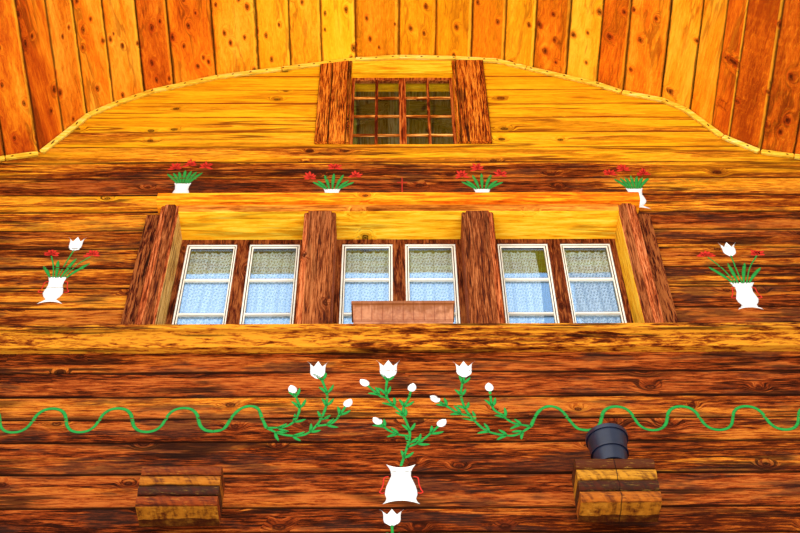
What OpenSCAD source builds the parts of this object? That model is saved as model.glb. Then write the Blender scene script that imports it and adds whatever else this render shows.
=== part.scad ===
// Alpine chalet: a squared-log house on a masonry basement, under a low-pitched roof
// whose front overhang is lined with boards to a shallow arch.
// The front faces -Y, +Z is up, and the origin is at the middle of the base, on the ground.

/* [House] */
// Width over the log walls
house_w = 9200; // [8400:100:10400]
// Depth over the log walls
house_d = 9600; // [8000:100:11000]
// Thickness of the log walls
wall_t = 180; // [140:10:240]
// Height of one squared log
log_h = 205; // [195:5:215]
// Depth of the bevel along a log's edges
log_bevel = 10; // [4:1:16]
// How far the log ends stand out past a corner
log_end = 170; // [80:10:260]
// Radius of the rounded underside of the stepped logs under the eaves
corbel_round = 150; // [80:10:190]

/* [Basement] */
// Height of the masonry basement
plinth_h = 2300; // [2100:50:2500]
// Thickness of the masonry
plinth_t = 450; // [400:10:600]
// How far the masonry stands out in front of the logs
plinth_out = 30; // [10:5:60]
// Thickness of the cellar's floor
slab_t = 120; // [80:10:200]
// Width of a basement window
cellar_win_w = 800; // [500:50:1000]
// Height of a basement window
cellar_win_h = 600; // [400:50:800]
// Height of a basement window's sill above the ground
cellar_sill = 1200; // [900:50:1400]
// Distance of a basement window from the middle of its wall
cellar_win_x = 2600; // [1800:50:3200]

/* [Entrance] */
// Width of the doorway in the basement's front
door_w = 1100; // [900:50:1400]
// Height of the doorway
door_h = 2000; // [1900:25:2050]
// Thickness of the door's frame
door_frame_t = 80; // [50:5:120]
// Thickness of the door's leaf
door_leaf_t = 50; // [40:5:70]
// Number of upright planks in the leaf
door_planks = 6; // [4:1:8]
// Depth of the grooves between the planks
door_groove = 8; // [4:1:12]

/* [Floors] */
// Thickness of each timber floor
floor_t = 160; // [120:10:200]
// Number of log courses from one storey to the next
storey_courses = 16; // [15:1:16]
// Clear height of the upper storey
upper_clear = 2400; // [2200:50:2500]

/* [Roof] */
// Pitch of the roof, in degrees
pitch = 22; // [21:0.5:23]
// Height of the rafters' underside at the ridge
ridge_z = 10700; // [10650:25:11000]
// How far the roof reaches past the front wall
front_over = 1750; // [1500:50:2000]
// How far the roof reaches past the back wall
back_over = 1200; // [800:50:1500]
// How far the roof reaches past the side walls
eave_over = 1250; // [900:50:1400]
// Depth of a rafter
rafter_d = 150; // [120:10:180]
// Width of a rafter
rafter_w = 110; // [80:10:140]
// Number of pairs of rafters
rafter_pairs = 15; // [12:1:18]
// Thickness of the roof's boarding and covering
cover_t = 90; // [60:10:120]
// Width of a purlin
purlin_w = 200; // [160:10:240]
// Depth of a purlin
purlin_d = 240; // [200:10:260]
// Distance of the middle purlins from the ridge
purlin_x = 2800; // [2780:10:3000]
// Number of stepped logs that carry each eave purlin
corbel_steps = 4; // [3:1:4]
// Thickness of the boards along the verges and eaves
edge_board_t = 40; // [25:5:60]
// Depth of the boards along the verges
verge_board_d = 300; // [260:10:340]
// Depth of the boards along the eaves
eave_board_d = 220; // [180:10:260]
// Width of one leg of the ridge cap
ridge_cap_w = 220; // [160:10:300]
// Thickness of the ridge cap
ridge_cap_t = 30; // [20:5:40]

/* [Arched lining] */
// Half the span of the arch
arch_half = 2750; // [2600:25:2760]
// Width of the open joint between two of the lining's boards
lining_joint = 2; // [1:0.5:5]
// Height of the arch's springing
spring_z = 8585; // [8500:5:8600]
// Rise of the arch
arch_rise = 1415; // [1350:5:1430]
// Rise of the lining towards the verge, in degrees
lining_rise = 10.6; // [8:0.2:11]
// Slope of the lining's wings beside the arch, in degrees
wing_slope = 14; // [10:1:16]
// Thickness of the lining's boards
lining_t = 28; // [20:2:36]
// Thickness of the spandrel board that closes the lining at the verge
spandrel_t = 40; // [30:5:60]
// Height of the strip that covers the joint between lining and wall
strip_h = 48; // [30:2:60]
// Thickness of that strip
strip_t = 22; // [12:2:30]

/* [Windows] */
// Distance from one window to the next in the front's row of three
bay = 1100; // [1080:10:1160]
// Width of an inner post between two windows
post_w = 220; // [180:10:240]
// Width of an outer post
outer_post_w = 130; // [100:10:180]
// How far the posts stand out in front of the logs
post_out = 130; // [90:5:140]
// Height of the window openings between ledge and cornice
opening_h = 1185; // [1150:5:1220]
// Height of the upper ledge above the ground
ledge_z = 6490; // [6480:5:6530]
// How far the rows of windows stand off the middle of the house, to the right
row_x = -20; // [-40:5:40]
// Depth of the ledge in front of the logs
ledge_out = 150; // [120:5:180]
// Thickness of the ledge's top board
ledge_t = 45; // [35:5:60]
// Height of the moulding under the ledge
ledge_mould_h = 60; // [40:5:90]
// Height of the cornice's band over the windows
cornice_h = 95; // [80:5:120]
// How far the band runs past the outer posts
cornice_end = 30; // [10:5:60]
// How far the cornice stands out in front of the logs
cornice_out = 165; // [130:5:190]
// Height of the roll under the band, which lies between the outer posts
lintel_t = 80; // [60:5:100]
// Depth of a window's outer face behind the outer face of the logs
win_inset = 125; // [100:5:135]
// Width of the fixed frame round a window
frame_w = 40; // [30:2:50]
// Depth of the fixed frame
frame_d = 70; // [50:5:75]
// Width of the mullion between two casements
mullion_w = 88; // [70:2:100]
// Width of a casement's rails and stiles
rail_w = 28; // [24:2:40]
// Depth of a casement
rail_d = 40; // [30:2:46]
// Thickness of the glass
glass_t = 5; // [4:1:8]
// Width of the boards beside the outer posts
side_board_w = 110; // [80:5:140]
// Thickness of the boards beside the outer posts
side_board_t = 45; // [30:5:60]
// Width of the beads along the posts' edges
post_bead = 28; // [20:2:36]

/* [Attic window] */
// Width of the attic window
attic_w = 840; // [800:10:960]
// Height of the attic window
attic_h = 1040; // [980:10:1060]
// Height of its sill above the ground
attic_z = 8690; // [8660:5:8700]
// How far the front's attic window stands off the middle of the house, to the right
attic_x = 22; // [-40:2:40]
// Width of the boards beside it
attic_board_w = 265; // [200:5:280]
// Thickness of the boards round it
attic_board_t = 25; // [15:5:40]
// Height of the board over it
attic_head_h = 170; // [120:10:180]
// Depth of the window behind the outer face of the logs
attic_inset = 45; // [30:5:60]

/* [Side and back windows] */
// Width of a window in the sides and back
side_win_w = 880; // [800:10:960]
// Distance from one such window to the next
side_pitch = 2500; // [2200:50:2800]
// Width of the casing boards round such a window
casing_w = 120; // [90:5:150]
// Thickness of those boards
casing_t = 40; // [25:5:50]

/* [Flower boxes] */
// Width of a wall trough
trough_w = 425; // [400:5:480]
// Depth of a wall trough
trough_d = 180; // [160:5:200]
// Heights of the left and the right trough
trough_h_left = 272; // [240:2:320]
trough_h_right = 300; // [240:2:320]
// Thickness of its boards
trough_t = 20; // [15:1:25]
// Number of half-round ribs on a trough's front
trough_ribs = 4; // [3:1:6]
// Distances of the troughs' middles from the middle of the house
trough_x_left = 1200; // [1000:5:1400]
trough_x_right = 1125; // [1000:5:1400]
// Heights of the troughs' rims above the ground
trough_z_left = 5208; // [5150:2:5300]
trough_z_right = 5250; // [5150:2:5300]
// Distance of a trough's back from the logs
trough_gap = 130; // [80:5:160]
// How far a rib rounds out
rib_out = 24; // [12:2:30]
// Width of the flat irons that carry a trough
iron_w = 30; // [20:2:40]
// Thickness of those irons
iron_t = 6; // [4:1:10]
// How far an iron's hook reaches down
hook_h = 60; // [40:5:100]
// Width of the planter on the ledge
planter_w = 660; // [560:10:740]
// Depth of the planter
planter_d = 165; // [150:5:180]
// Height of the planter
planter_h = 215; // [180:5:240]
// Thickness of the planter's wall
planter_t = 10; // [6:1:14]
// How far each end of the planter draws in towards its foot
planter_taper = 20; // [10:2:30]
// Height of the planter's rim
planter_rim_h = 24; // [16:2:34]
// How far the planter's rim stands out past its sides
planter_rim_out = 8; // [4:1:12]
// Radius of the pot's mouth
pot_r = 118; // [105:1:125]
// Radius of the pot's foot
pot_foot_r = 88; // [84:1:95]
// Height of the pot
pot_h = 220; // [180:5:260]
// Thickness of the pot's wall
pot_t = 5; // [4:1:8]
// Height of the pot's rim
pot_rim_h = 26; // [18:2:36]
// How far the pot's rim stands out past its side
pot_rim_out = 7; // [4:1:10]
// Height of the ring round the pot above its foot
pot_ring_z = 85; // [60:5:110]
// Height of that ring
pot_ring_h = 12; // [8:1:20]
// How far the ring stands out
pot_ring_out = 5; // [3:1:8]

/* [Chimney] */
// Width of the stack across the house
stack_w = 700; // [600:20:800]
// Depth of the stack along the house
stack_d = 520; // [400:20:560]
// Distance of the stack from the ridge line
stack_x = 1400; // [1200:50:1800]
// Height of the stack's top
stack_z = 11600; // [11400:50:12000]
// Radius of the flue
flue_r = 120; // [90:5:150]
// How far the cap slab reaches past the stack
cap_out = 80; // [40:10:120]
// Thickness of the cap slab
cap_t = 90; // [60:10:120]

/* [Hidden] */

half_w = house_w / 2;
half_d = house_d / 2;
front_y = -half_d;
inner_w = house_w - 2 * wall_t;
inner_d = house_d - 2 * wall_t;
// Excess that carries a cut past the face it opens
past = 20;
// Running clearance of a piece that passes through another
pass_gap = 2;
// Gap between the side boards' tops and the cornice's band
side_board_gap = 10;

slope = tan(pitch);
slant = 1 / cos(pitch);
cover_z = ridge_z + rafter_d * slant;
roof_y0 = -half_d - front_over;
roof_y1 = half_d + back_over;
roof_len = roof_y1 - roof_y0;
roof_x = half_w + eave_over;
eave_purlin_x = half_w - wall_t / 2;
wall_courses = floor((ridge_z - half_w * slope - purlin_d * 0.75 - plinth_h) / log_h);
wall_top = plinth_h + wall_courses * log_h;
gable_courses = ceil((ridge_z - plinth_h) / log_h);
corbel_first = wall_courses - corbel_steps;

living_z = plinth_h + floor_t;
storey = storey_courses * log_h;
upper_z = living_z + storey;
attic_floor_z = upper_z + upper_clear + floor_t;
plinth_x = half_w + plinth_out;
plinth_y = half_d + plinth_out;

row_half = bay + bay / 2 - post_w / 2 + outer_post_w;
light_w = bay - post_w;
row_heights = [ledge_z - storey, ledge_z];
side_rows = [-1, 0, 1];
// The courses seen on the front are unequal: their shifts above an even spacing
shift_first = 13;
course_shift = [27, -7, 32, 68, 45, 20, 23];
// The stepped logs' reach: share of the roof's overhang, for the lowest and the highest
corbel_near = 0.2;
corbel_far = 0.9;
// Moulded profiles: share of the depth, share of the height
ledge_shape = [[-0.35, -1], [-0.42, -0.75], [-0.55, -0.5], [-0.7, -0.17], [-0.85, 0]];
band_shape = [[-0.9, 1], [-1, 0.92], [-1, 0.12], [-0.94, 0]];
roll_shape = [[-0.77, 1], [-0.83, 0.88], [-0.86, 0.65], [-0.86, 0.4], [-0.82, 0.16], [-0.74, 0]];
// Each trough's place across the house, its rim's height and its own height
troughs = [[-trough_x_left, trough_z_left, trough_h_left],
    [trough_x_right, trough_z_right, trough_h_right]];
// The arch's outline: share of the half span, share of the rise
arch_shape = [[-1, 0], [-0.903, 0.367], [-0.833, 0.49], [-0.733, 0.623], [-0.55, 0.774],
    [-0.36, 0.865], [-0.136, 0.971], [0, 1], [0.173, 0.985], [0.301, 0.955], [0.39, 0.87],
    [0.597, 0.685], [0.661, 0.6], [0.775, 0.517], [0.838, 0.404], [0.914, 0.14], [1, 0]];
wing_x = half_w - wall_t;
wing_drop = (wing_x - arch_half) * tan(wing_slope);
// Joints between the arch's boards, from the left springing to the right one: share of the half span
board_joints = [-1, -0.95, -0.902, -0.835, -0.753, -0.672, -0.552, -0.425, -0.33, -0.236, -0.133, 0,
    0.112, 0.221, 0.322, 0.407, 0.503, 0.591, 0.662, 0.768, 0.841, 0.887, 0.925, 1];
// Boards in each of the wings beside the arch
wing_boards = 7;
wing_step = (wing_x - arch_half) / wing_boards;
wing_fall = wing_drop / wing_boards;
arch_line = concat(
    [for (i = [wing_boards:-1:1]) [-arch_half - i * wing_step, -i * wing_fall]],
    [for (u = board_joints) [u * arch_half, lookup(u, arch_shape) * arch_rise]],
    [for (i = [1:wing_boards]) [arch_half + i * wing_step, -i * wing_fall]]);
verge_rise = front_over * tan(lining_rise);

stack_y = roof_y0 + roof_len * 0.6;

function reversed(list) = [for (i = [len(list) - 1:-1:0]) list[i]];
function rafter_z(x) = ridge_z - abs(x) * slope;
function cover_under(x) = cover_z - abs(x) * slope;
function shift_of(i) = i < shift_first || i >= shift_first + len(course_shift) ? 0
    : course_shift[i - shift_first] * log_h / 205;
function course_z(i) = plinth_h + i * log_h + shift_of(i);

// A profile drawn in depth and height, carried along the width of the house
module along_x(length) {
    translate([-length / 2, 0, 0]) rotate([90, 0, 90]) linear_extrude(height = length) children();
}

// A profile drawn in width and height, carried along the depth from y0 to y1
module along_y(y0, y1) {
    translate([0, y1, 0]) rotate([90, 0, 0]) linear_extrude(height = y1 - y0) children();
}

module box(x0, x1, y0, y1, z0, z1) {
    translate([x0, y0, z0]) cube([x1 - x0, y1 - y0, z1 - z0]);
}

// The stacked logs' section: bevelled joints on the outer face, at depth 0
module stack_profile(first, last) {
    outer = [for (i = [first:last - 1]) each [
        [log_bevel, course_z(i)],
        [0, course_z(i) + log_bevel],
        [0, course_z(i + 1) - log_bevel]]];
    polygon(concat(outer, [[log_bevel, course_z(last)], [wall_t, course_z(last)],
        [wall_t, course_z(first)]]));
}

// One log's section, bevelled on its four edges
module log_profile(i) {
    z0 = course_z(i);
    z1 = course_z(i + 1);
    b = log_bevel;
    polygon([[b, z0], [wall_t - b, z0], [wall_t, z0 + b], [wall_t, z1 - b], [wall_t - b, z1],
        [b, z1], [0, z1 - b], [0, z0 + b]]);
}

// The gable's outline below the rafters
module gable_outline() {
    polygon([[-half_w - log_end - past, plinth_h - past], [half_w + log_end + past, plinth_h - past],
        [half_w + log_end + past, rafter_z(half_w + log_end + past)], [0, ridge_z],
        [-half_w - log_end - past, rafter_z(half_w + log_end + past)]]);
}

module purlin_profile(x) {
    top_in = rafter_z(abs(x) - purlin_w / 2);
    top_out = rafter_z(abs(x) + purlin_w / 2);
    s = sign(x);
    bottom = rafter_z(x) - purlin_d;
    if (x == 0)
        polygon([[-purlin_w / 2, bottom], [purlin_w / 2, bottom], [purlin_w / 2, top_out],
            [0, ridge_z], [-purlin_w / 2, top_out]]);
    else
        polygon([[x - s * purlin_w / 2, bottom], [x + s * purlin_w / 2, bottom],
            [x + s * purlin_w / 2, top_out], [x - s * purlin_w / 2, top_in]]);
}

module eave_purlin_profile(s) {
    x0 = eave_purlin_x - wall_t / 2;
    x1 = eave_purlin_x + wall_t / 2;
    polygon([[s * x0, wall_top], [s * x1, wall_top], [s * x1, rafter_z(x1)], [s * x0, rafter_z(x0)]]);
}

// The notch that a purlin lies in: its own section with clearance beside it
module purlin_notch(x) {
    bottom = rafter_z(x) - purlin_d;
    translate([x - purlin_w / 2 - pass_gap, bottom]) square([purlin_w + 2 * pass_gap, purlin_d * 2]);
}

// One gable wall, drawn as the front one
module gable_wall() {
    difference() {
        intersection() {
            union() {
                translate([0, front_y, 0]) along_x(inner_w) stack_profile(0, gable_courses);
                for (i = [0:2:corbel_first - 1], s = [-1, 1])
                    translate([s * (half_w - wall_t / 2 + log_end / 2), front_y, 0])
                        along_x(wall_t + log_end) log_profile(i);
            }
            along_y(front_y - past, front_y + wall_t + past) gable_outline();
        }
        for (x = [-purlin_x, 0, purlin_x])
            along_y(front_y - past, front_y + wall_t + past) purlin_notch(x);
    }
}

// One side wall, drawn as the left one, with stepped logs that carry the eave purlin
module side_wall() {
    translate([-half_w, 0, 0]) along_y(-inner_d / 2, inner_d / 2) stack_profile(0, wall_courses);
    for (i = [1:2:corbel_first - 1], s = [-1, 1])
        translate([-half_w, s * (half_d - wall_t / 2 + log_end / 2), 0])
            along_y(-(wall_t + log_end) / 2, (wall_t + log_end) / 2) log_profile(i);
    for (k = [0:corbel_steps - 1]) {
        share = corbel_near + (corbel_far - corbel_near) * k / (corbel_steps - 1);
        corbel(corbel_first + k, half_d + front_over * share);
        mirror([0, 1, 0]) corbel(corbel_first + k, half_d + back_over * share);
    }
}

// One stepped log at the front end of the left wall, rounded under its head
module corbel(i, reach) {
    z0 = course_z(i);
    z1 = course_z(i + 1);
    translate([-half_w, 0, 0]) intersection() {
        along_y(-reach, -inner_d / 2) log_profile(i);
        translate([wall_t / 2, 0, 0]) along_x(wall_t + past) union() {
            translate([-reach + corbel_round, z0 + corbel_round]) circle(r = corbel_round, $fn = 48);
            translate([-reach, z0 + corbel_round]) square([reach, z1 - z0 - corbel_round]);
            translate([-reach + corbel_round, z0]) square([reach - corbel_round, z1 - z0]);
        }
    }
}

// Openings for the side windows of one wall, drawn in the left wall
module side_openings() {
    for (z = row_heights, k = side_rows)
        box(-half_w - past, -half_w + wall_t + past, k * side_pitch - side_win_w / 2,
            k * side_pitch + side_win_w / 2, z, z + opening_h);
}

module back_openings() {
    for (z = row_heights, k = side_rows)
        box(k * side_pitch - side_win_w / 2, k * side_pitch + side_win_w / 2,
            half_d - wall_t - past, half_d + past, z, z + opening_h);
}

module attic_opening(x, y0, y1) {
    box(x - attic_w / 2, x + attic_w / 2, y0, y1, attic_z, attic_z + attic_h);
}

module front_wall() {
    color("#a85a18") difference() {
        gable_wall();
        for (z = row_heights)
            box(row_x - row_half, row_x + row_half, front_y - past, front_y + wall_t + past,
                z - ledge_t, z + opening_h + lintel_t);
        attic_opening(attic_x, front_y - past, front_y + wall_t + past);
    }
}

module back_wall() {
    color("#9c5216") difference() {
        mirror([0, 1, 0]) gable_wall();
        back_openings();
        attic_opening(-attic_x, half_d - wall_t - past, half_d + past);
    }
}

module left_wall() {
    color("#9c5216") difference() {
        side_wall();
        side_openings();
    }
}

module right_wall() {
    color("#9c5216") mirror([1, 0, 0]) difference() {
        side_wall();
        side_openings();
    }
}

// A basement wall along X, drawn as the front one
module cellar_wall() {
    difference() {
        box(-plinth_x, plinth_x, -plinth_y, -plinth_y + plinth_t, 0, plinth_h);
        for (s = [-1, 1])
            box(s * cellar_win_x - cellar_win_w / 2, s * cellar_win_x + cellar_win_w / 2,
                -plinth_y - past, -plinth_y + plinth_t + past, cellar_sill, cellar_sill + cellar_win_h);
    }
}

module front_basement_wall() {
    color("#cfc8ba") difference() {
        cellar_wall();
        box(-door_w / 2, door_w / 2, -plinth_y - past, -plinth_y + plinth_t + past, -past, door_h);
    }
}

module back_basement_wall() {
    color("#cfc8ba") mirror([0, 1, 0]) cellar_wall();
}

module left_basement_wall() {
    color("#cfc8ba") difference() {
        box(-plinth_x, -plinth_x + plinth_t, -plinth_y + plinth_t, plinth_y - plinth_t, 0, plinth_h);
        for (s = [-1, 1])
            box(-plinth_x - past, -plinth_x + plinth_t + past, s * cellar_win_x - cellar_win_w / 2,
                s * cellar_win_x + cellar_win_w / 2, cellar_sill, cellar_sill + cellar_win_h);
    }
}

module right_basement_wall() {
    mirror([1, 0, 0]) left_basement_wall();
}

module stack_hole(z0, z1) {
    box(stack_x - stack_w / 2 - pass_gap, stack_x + stack_w / 2 + pass_gap,
        stack_y - stack_d / 2 - pass_gap, stack_y + stack_d / 2 + pass_gap, z0, z1);
}

// A timber floor between the log walls, with a hole for the chimney
module timber_floor(top) {
    difference() {
        box(-inner_w / 2, inner_w / 2, -inner_d / 2, inner_d / 2, top - floor_t, top);
        stack_hole(top - floor_t - past, top + past);
    }
}

module basement_floor() {
    x = plinth_x - plinth_t;
    y = plinth_y - plinth_t;
    color("#a9a59b") box(-x, x, -y, y, 0, slab_t);
}

module living_floor() {
    color("#b9874b") timber_floor(living_z);
}

module upper_floor() {
    color("#b9874b") timber_floor(upper_z);
}

module attic_floor() {
    color("#b9874b") timber_floor(attic_floor_z);
}

// A plain window frame in the XZ plane, its outer face at y = 0
module frame_ring(w, h, side, d) {
    difference() {
        box(-w / 2, w / 2, 0, d, 0, h);
        box(-w / 2 + side, w / 2 - side, -past, d + past, side, h - side);
    }
}

// The fixed frame of a window with two casements
module fixed_frame(w, h) {
    frame_ring(w, h, frame_w, frame_d);
    box(-mullion_w / 2, mullion_w / 2, 0, frame_d, frame_w, h - frame_w);
}

// Places its child in each of the two casements of a window
module each_sash(w) {
    sash = (w - 2 * frame_w - mullion_w) / 2;
    for (s = [-1, 1]) translate([s * (mullion_w + sash) / 2, 0, frame_w]) children();
}

// The casements of one window
module casement_pair(w, h) {
    sash = (w - 2 * frame_w - mullion_w) / 2;
    each_sash(w) frame_ring(sash, h - 2 * frame_w, rail_w, rail_d);
}

// The panes of one window
module pane_pair(w, h) {
    sash = (w - 2 * frame_w - mullion_w) / 2;
    each_sash(w) box(-sash / 2 + rail_w, sash / 2 - rail_w, (rail_d - glass_t) / 2,
        (rail_d + glass_t) / 2, rail_w, h - 2 * frame_w - rail_w);
}

// Places its child at each window of the front's two rows
module each_front_window() {
    for (z = row_heights, k = side_rows)
        translate([row_x + k * bay, front_y + win_inset, z]) children();
}

// Places its child at each window of the sides and back
module each_side_window() {
    for (z = row_heights, k = side_rows, turn = [90, 180, 270])
        rotate([0, 0, turn])
            translate([k * side_pitch, -(turn == 180 ? half_d : half_w), z]) children();
}

// Places its child at the front's and back's attic window
module each_attic_window() {
    for (turn = [0, 180]) rotate([0, 0, turn]) translate([attic_x, front_y, attic_z]) children();
}

module front_ledges() {
    profile = concat([[-ledge_out, 0], [wall_t, 0], [wall_t, -ledge_t], [0, -ledge_t],
        [0, -ledge_t - ledge_mould_h]],
        [for (p = ledge_shape) [p[0] * ledge_out, p[1] * ledge_mould_h - ledge_t]],
        [[-ledge_out, -ledge_t]]);
    color("#d98a1e") for (z = row_heights) translate([0, front_y, z]) {
        translate([row_x, 0, 0]) along_x(2 * row_half) polygon(profile);
        for (s = [-1, 1])
            translate([(s * (row_half + half_w) + row_x) / 2, 0, 0])
                along_x(half_w - row_half - s * row_x)
                    polygon([for (p = profile) [min(p[0], 0), p[1]]]);
    }
}

// A post's plan: a flat board between two beads that stand back a little from it
module post_plan(w) {
    b = post_bead;
    c = b / 4;
    polygon([[-w / 2, wall_t], [-w / 2, c - post_out + b / 2], [c - w / 2, b / 2 - post_out],
        [b - w / 2, b / 2 - post_out], [b - w / 2, c - post_out], [b + c - w / 2, -post_out],
        [w / 2 - b - c, -post_out], [w / 2 - b, c - post_out], [w / 2 - b, b / 2 - post_out],
        [w / 2 - c, b / 2 - post_out], [w / 2, c - post_out + b / 2], [w / 2, wall_t]]);
}

module front_posts() {
    color("#8a3f17") for (z = row_heights, s = [-1, 1]) translate([row_x, front_y, z]) {
        translate([s * bay / 2, 0, 0]) linear_extrude(height = opening_h) post_plan(post_w);
        translate([s * (row_half - outer_post_w / 2), 0, 0])
            linear_extrude(height = opening_h + lintel_t) post_plan(outer_post_w);
    }
}

// A band across the whole row, over a roll between the outer posts
module front_cornices() {
    roll = concat([[wall_t, 0], [wall_t, lintel_t]],
        [for (p = roll_shape) [p[0] * cornice_out, p[1] * lintel_t]]);
    band = concat([[0, lintel_t], [0, lintel_t + cornice_h]],
        [for (p = band_shape) [p[0] * cornice_out, lintel_t + p[1] * cornice_h]]);
    color("#e09a22") for (z = row_heights) translate([row_x, front_y, z + opening_h]) {
        along_x(2 * row_half - 2 * outer_post_w) polygon(roll);
        along_x(2 * row_half + 2 * cornice_end) polygon(band);
    }
}

module front_side_boards() {
    color("#7b3512") for (z = row_heights, s = [-1, 1])
        translate([row_x + s * (row_half + side_board_w / 2), front_y, z])
            box(-side_board_w / 2, side_board_w / 2, -side_board_t, 0, 0,
                opening_h + lintel_t - side_board_gap);
}

module front_frames() {
    color("#8a3f17") each_front_window() fixed_frame(light_w, opening_h);
}

module front_casements() {
    color("#efe9d6") each_front_window() translate([0, (frame_d - rail_d) / 2, 0])
        casement_pair(light_w, opening_h);
}

module front_glass() {
    color("#9fc4dd") {
        each_front_window() translate([0, (frame_d - rail_d) / 2, 0]) pane_pair(light_w, opening_h);
        each_attic_window() translate([0, attic_inset, 0]) attic_panes();
    }
}

// The boards round the attic window, whose tops are cut to the arch
module attic_casings() {
    side_x = attic_w / 2 + attic_board_w / 2;
    color("#b4641c") each_attic_window() intersection() {
        union() {
            for (s = [-1, 1])
                translate([s * side_x, 0, 0]) box(-attic_board_w / 2, attic_board_w / 2, -attic_board_t, 0,
                    0, attic_h + attic_head_h);
            box(-attic_w / 2 + pass_gap, attic_w / 2 - pass_gap, -attic_board_t, 0, attic_h,
                attic_h + attic_head_h);
        }
        along_y(-attic_board_t - past, past)
            translate([-attic_x, spring_z - attic_z - strip_h - pass_gap])
            polygon(concat([[-wing_x, -arch_rise]], arch_line, [[wing_x, -arch_rise]]));
    }
}

module attic_casements() {
    color("#8c3a18") each_attic_window() translate([0, attic_inset, 0])
        for (s = [-1, 1]) translate([s * attic_w / 4, 0, 0])
            frame_ring(attic_w / 2, attic_h, rail_w, rail_d);
}

module attic_panes() {
    for (s = [-1, 1]) translate([s * attic_w / 4, 0, 0])
        box(-attic_w / 4 + rail_w, attic_w / 4 - rail_w, (rail_d - glass_t) / 2,
            (rail_d + glass_t) / 2, rail_w, attic_h - rail_w);
}

// Four boards round each window: the head and the sill run past the sides
module side_casings() {
    x = side_win_w / 2;
    color("#8a4a1c") each_side_window() {
        for (s = [-1, 1]) translate([s * (x + casing_w / 2), 0, 0])
            box(-casing_w / 2, casing_w / 2, -casing_t, 0, pass_gap, opening_h - pass_gap);
        box(-x - casing_w, x + casing_w, -casing_t, 0, opening_h, opening_h + casing_w);
        box(-x - casing_w, x + casing_w, -casing_t, 0, -casing_w, 0);
    }
}

module side_frames() {
    color("#8a3f17") each_side_window() translate([0, win_inset, 0])
        fixed_frame(side_win_w, opening_h);
}

module side_casements() {
    color("#efe9d6") each_side_window() translate([0, win_inset + (frame_d - rail_d) / 2, 0])
        casement_pair(side_win_w, opening_h);
}

module side_glass() {
    color("#9fc4dd") each_side_window() translate([0, win_inset + (frame_d - rail_d) / 2, 0])
        pane_pair(side_win_w, opening_h);
}

// Places its child at each basement window, its outer face on the masonry's
module each_cellar_window() {
    for (s = [-1, 1], turn = [0, 90, 180, 270])
        rotate([0, 0, turn]) translate([s * cellar_win_x,
            -(turn % 180 == 0 ? plinth_y : plinth_x) + plinth_t / 2, cellar_sill]) children();
}

module basement_frames() {
    color("#8a3f17") each_cellar_window() frame_ring(cellar_win_w, cellar_win_h, frame_w, frame_d);
}

module basement_glass() {
    color("#9fc4dd") each_cellar_window()
        box(-cellar_win_w / 2 + frame_w, cellar_win_w / 2 - frame_w, (frame_d - glass_t) / 2,
            (frame_d + glass_t) / 2, frame_w, cellar_win_h - frame_w);
}

module door_frame() {
    color("#7b3512") translate([0, -plinth_y + plinth_t / 2, 0]) difference() {
        box(-door_w / 2, door_w / 2, 0, 2 * door_leaf_t, 0, door_h);
        box(-door_w / 2 + door_frame_t, door_w / 2 - door_frame_t, -past, 2 * door_leaf_t + past, -past,
            door_h - door_frame_t);
    }
}

module entrance_door() {
    leaf_w = door_w - 2 * door_frame_t;
    plank = leaf_w / door_planks;
    color("#6d3a1a") translate([0, -plinth_y + plinth_t / 2 + door_leaf_t / 2, 0])
        linear_extrude(height = door_h - door_frame_t) polygon(concat(
            [[leaf_w / 2, door_leaf_t], [-leaf_w / 2, door_leaf_t], [-leaf_w / 2, 0]],
            [for (i = [1:door_planks - 1]) each [
                [-leaf_w / 2 + i * plank - door_groove, 0],
                [-leaf_w / 2 + i * plank, door_groove],
                [-leaf_w / 2 + i * plank + door_groove, 0]]],
            [[leaf_w / 2, 0]]));
}

module ridge_purlin() {
    color("#a0622a") along_y(roof_y0 + spandrel_t, roof_y1) purlin_profile(0);
}

module middle_purlins() {
    color("#a0622a") for (s = [-1, 1])
        along_y(roof_y0 + spandrel_t, roof_y1) purlin_profile(s * purlin_x);
}

module eave_purlins() {
    color("#a0622a") for (s = [-1, 1]) along_y(roof_y0, roof_y1) eave_purlin_profile(s);
}

// One slope's layer between two heights above the rafters' underside line
module slope_profile(s, z0, z1, x0, x1) {
    polygon([[s * x0, z0 - x0 * slope], [s * x1, z0 - x1 * slope], [s * x1, z1 - x1 * slope],
        [s * x0, z1 - x0 * slope]]);
}

module rafters() {
    first = roof_y0 + spandrel_t;
    step = (roof_y1 - rafter_w - first) / (rafter_pairs - 1);
    color("#9a5c28") for (i = [0:rafter_pairs - 1], s = [-1, 1])
        along_y(first + i * step, first + i * step + rafter_w)
            slope_profile(s, ridge_z, cover_z, pass_gap / 2, roof_x);
}

module roof_left() {
    color("#6f5a48") along_y(roof_y0, roof_y1)
        slope_profile(-1, cover_z, cover_z + cover_t * slant, 0, roof_x);
}

module roof_right() {
    color("#6f5a48") difference() {
        along_y(roof_y0, roof_y1) slope_profile(1, cover_z, cover_z + cover_t * slant, 0, roof_x);
        stack_hole(cover_under(stack_x) - stack_w, cover_under(stack_x) + stack_w);
    }
}

module ridge_cap() {
    top = cover_z + cover_t * slant;
    color("#5b4a3c") along_y(roof_y0, roof_y1) polygon([[0, top], [ridge_cap_w, top - ridge_cap_w * slope],
        [ridge_cap_w, top - ridge_cap_w * slope + ridge_cap_t], [0, top + ridge_cap_t],
        [-ridge_cap_w, top - ridge_cap_w * slope + ridge_cap_t], [-ridge_cap_w, top - ridge_cap_w * slope]]);
}

// The pair of boards along one verge
module verge_boards(y0) {
    top = cover_z + cover_t * slant;
    for (s = [-1, 1])
        along_y(y0, y0 + edge_board_t)
            slope_profile(s, top - verge_board_d * slant, top, pass_gap / 2, roof_x);
}

module front_verge_boards() {
    color("#8a4a1c") verge_boards(roof_y0 - edge_board_t);
}

module back_verge_boards() {
    color("#8a4a1c") verge_boards(roof_y1);
}

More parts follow.
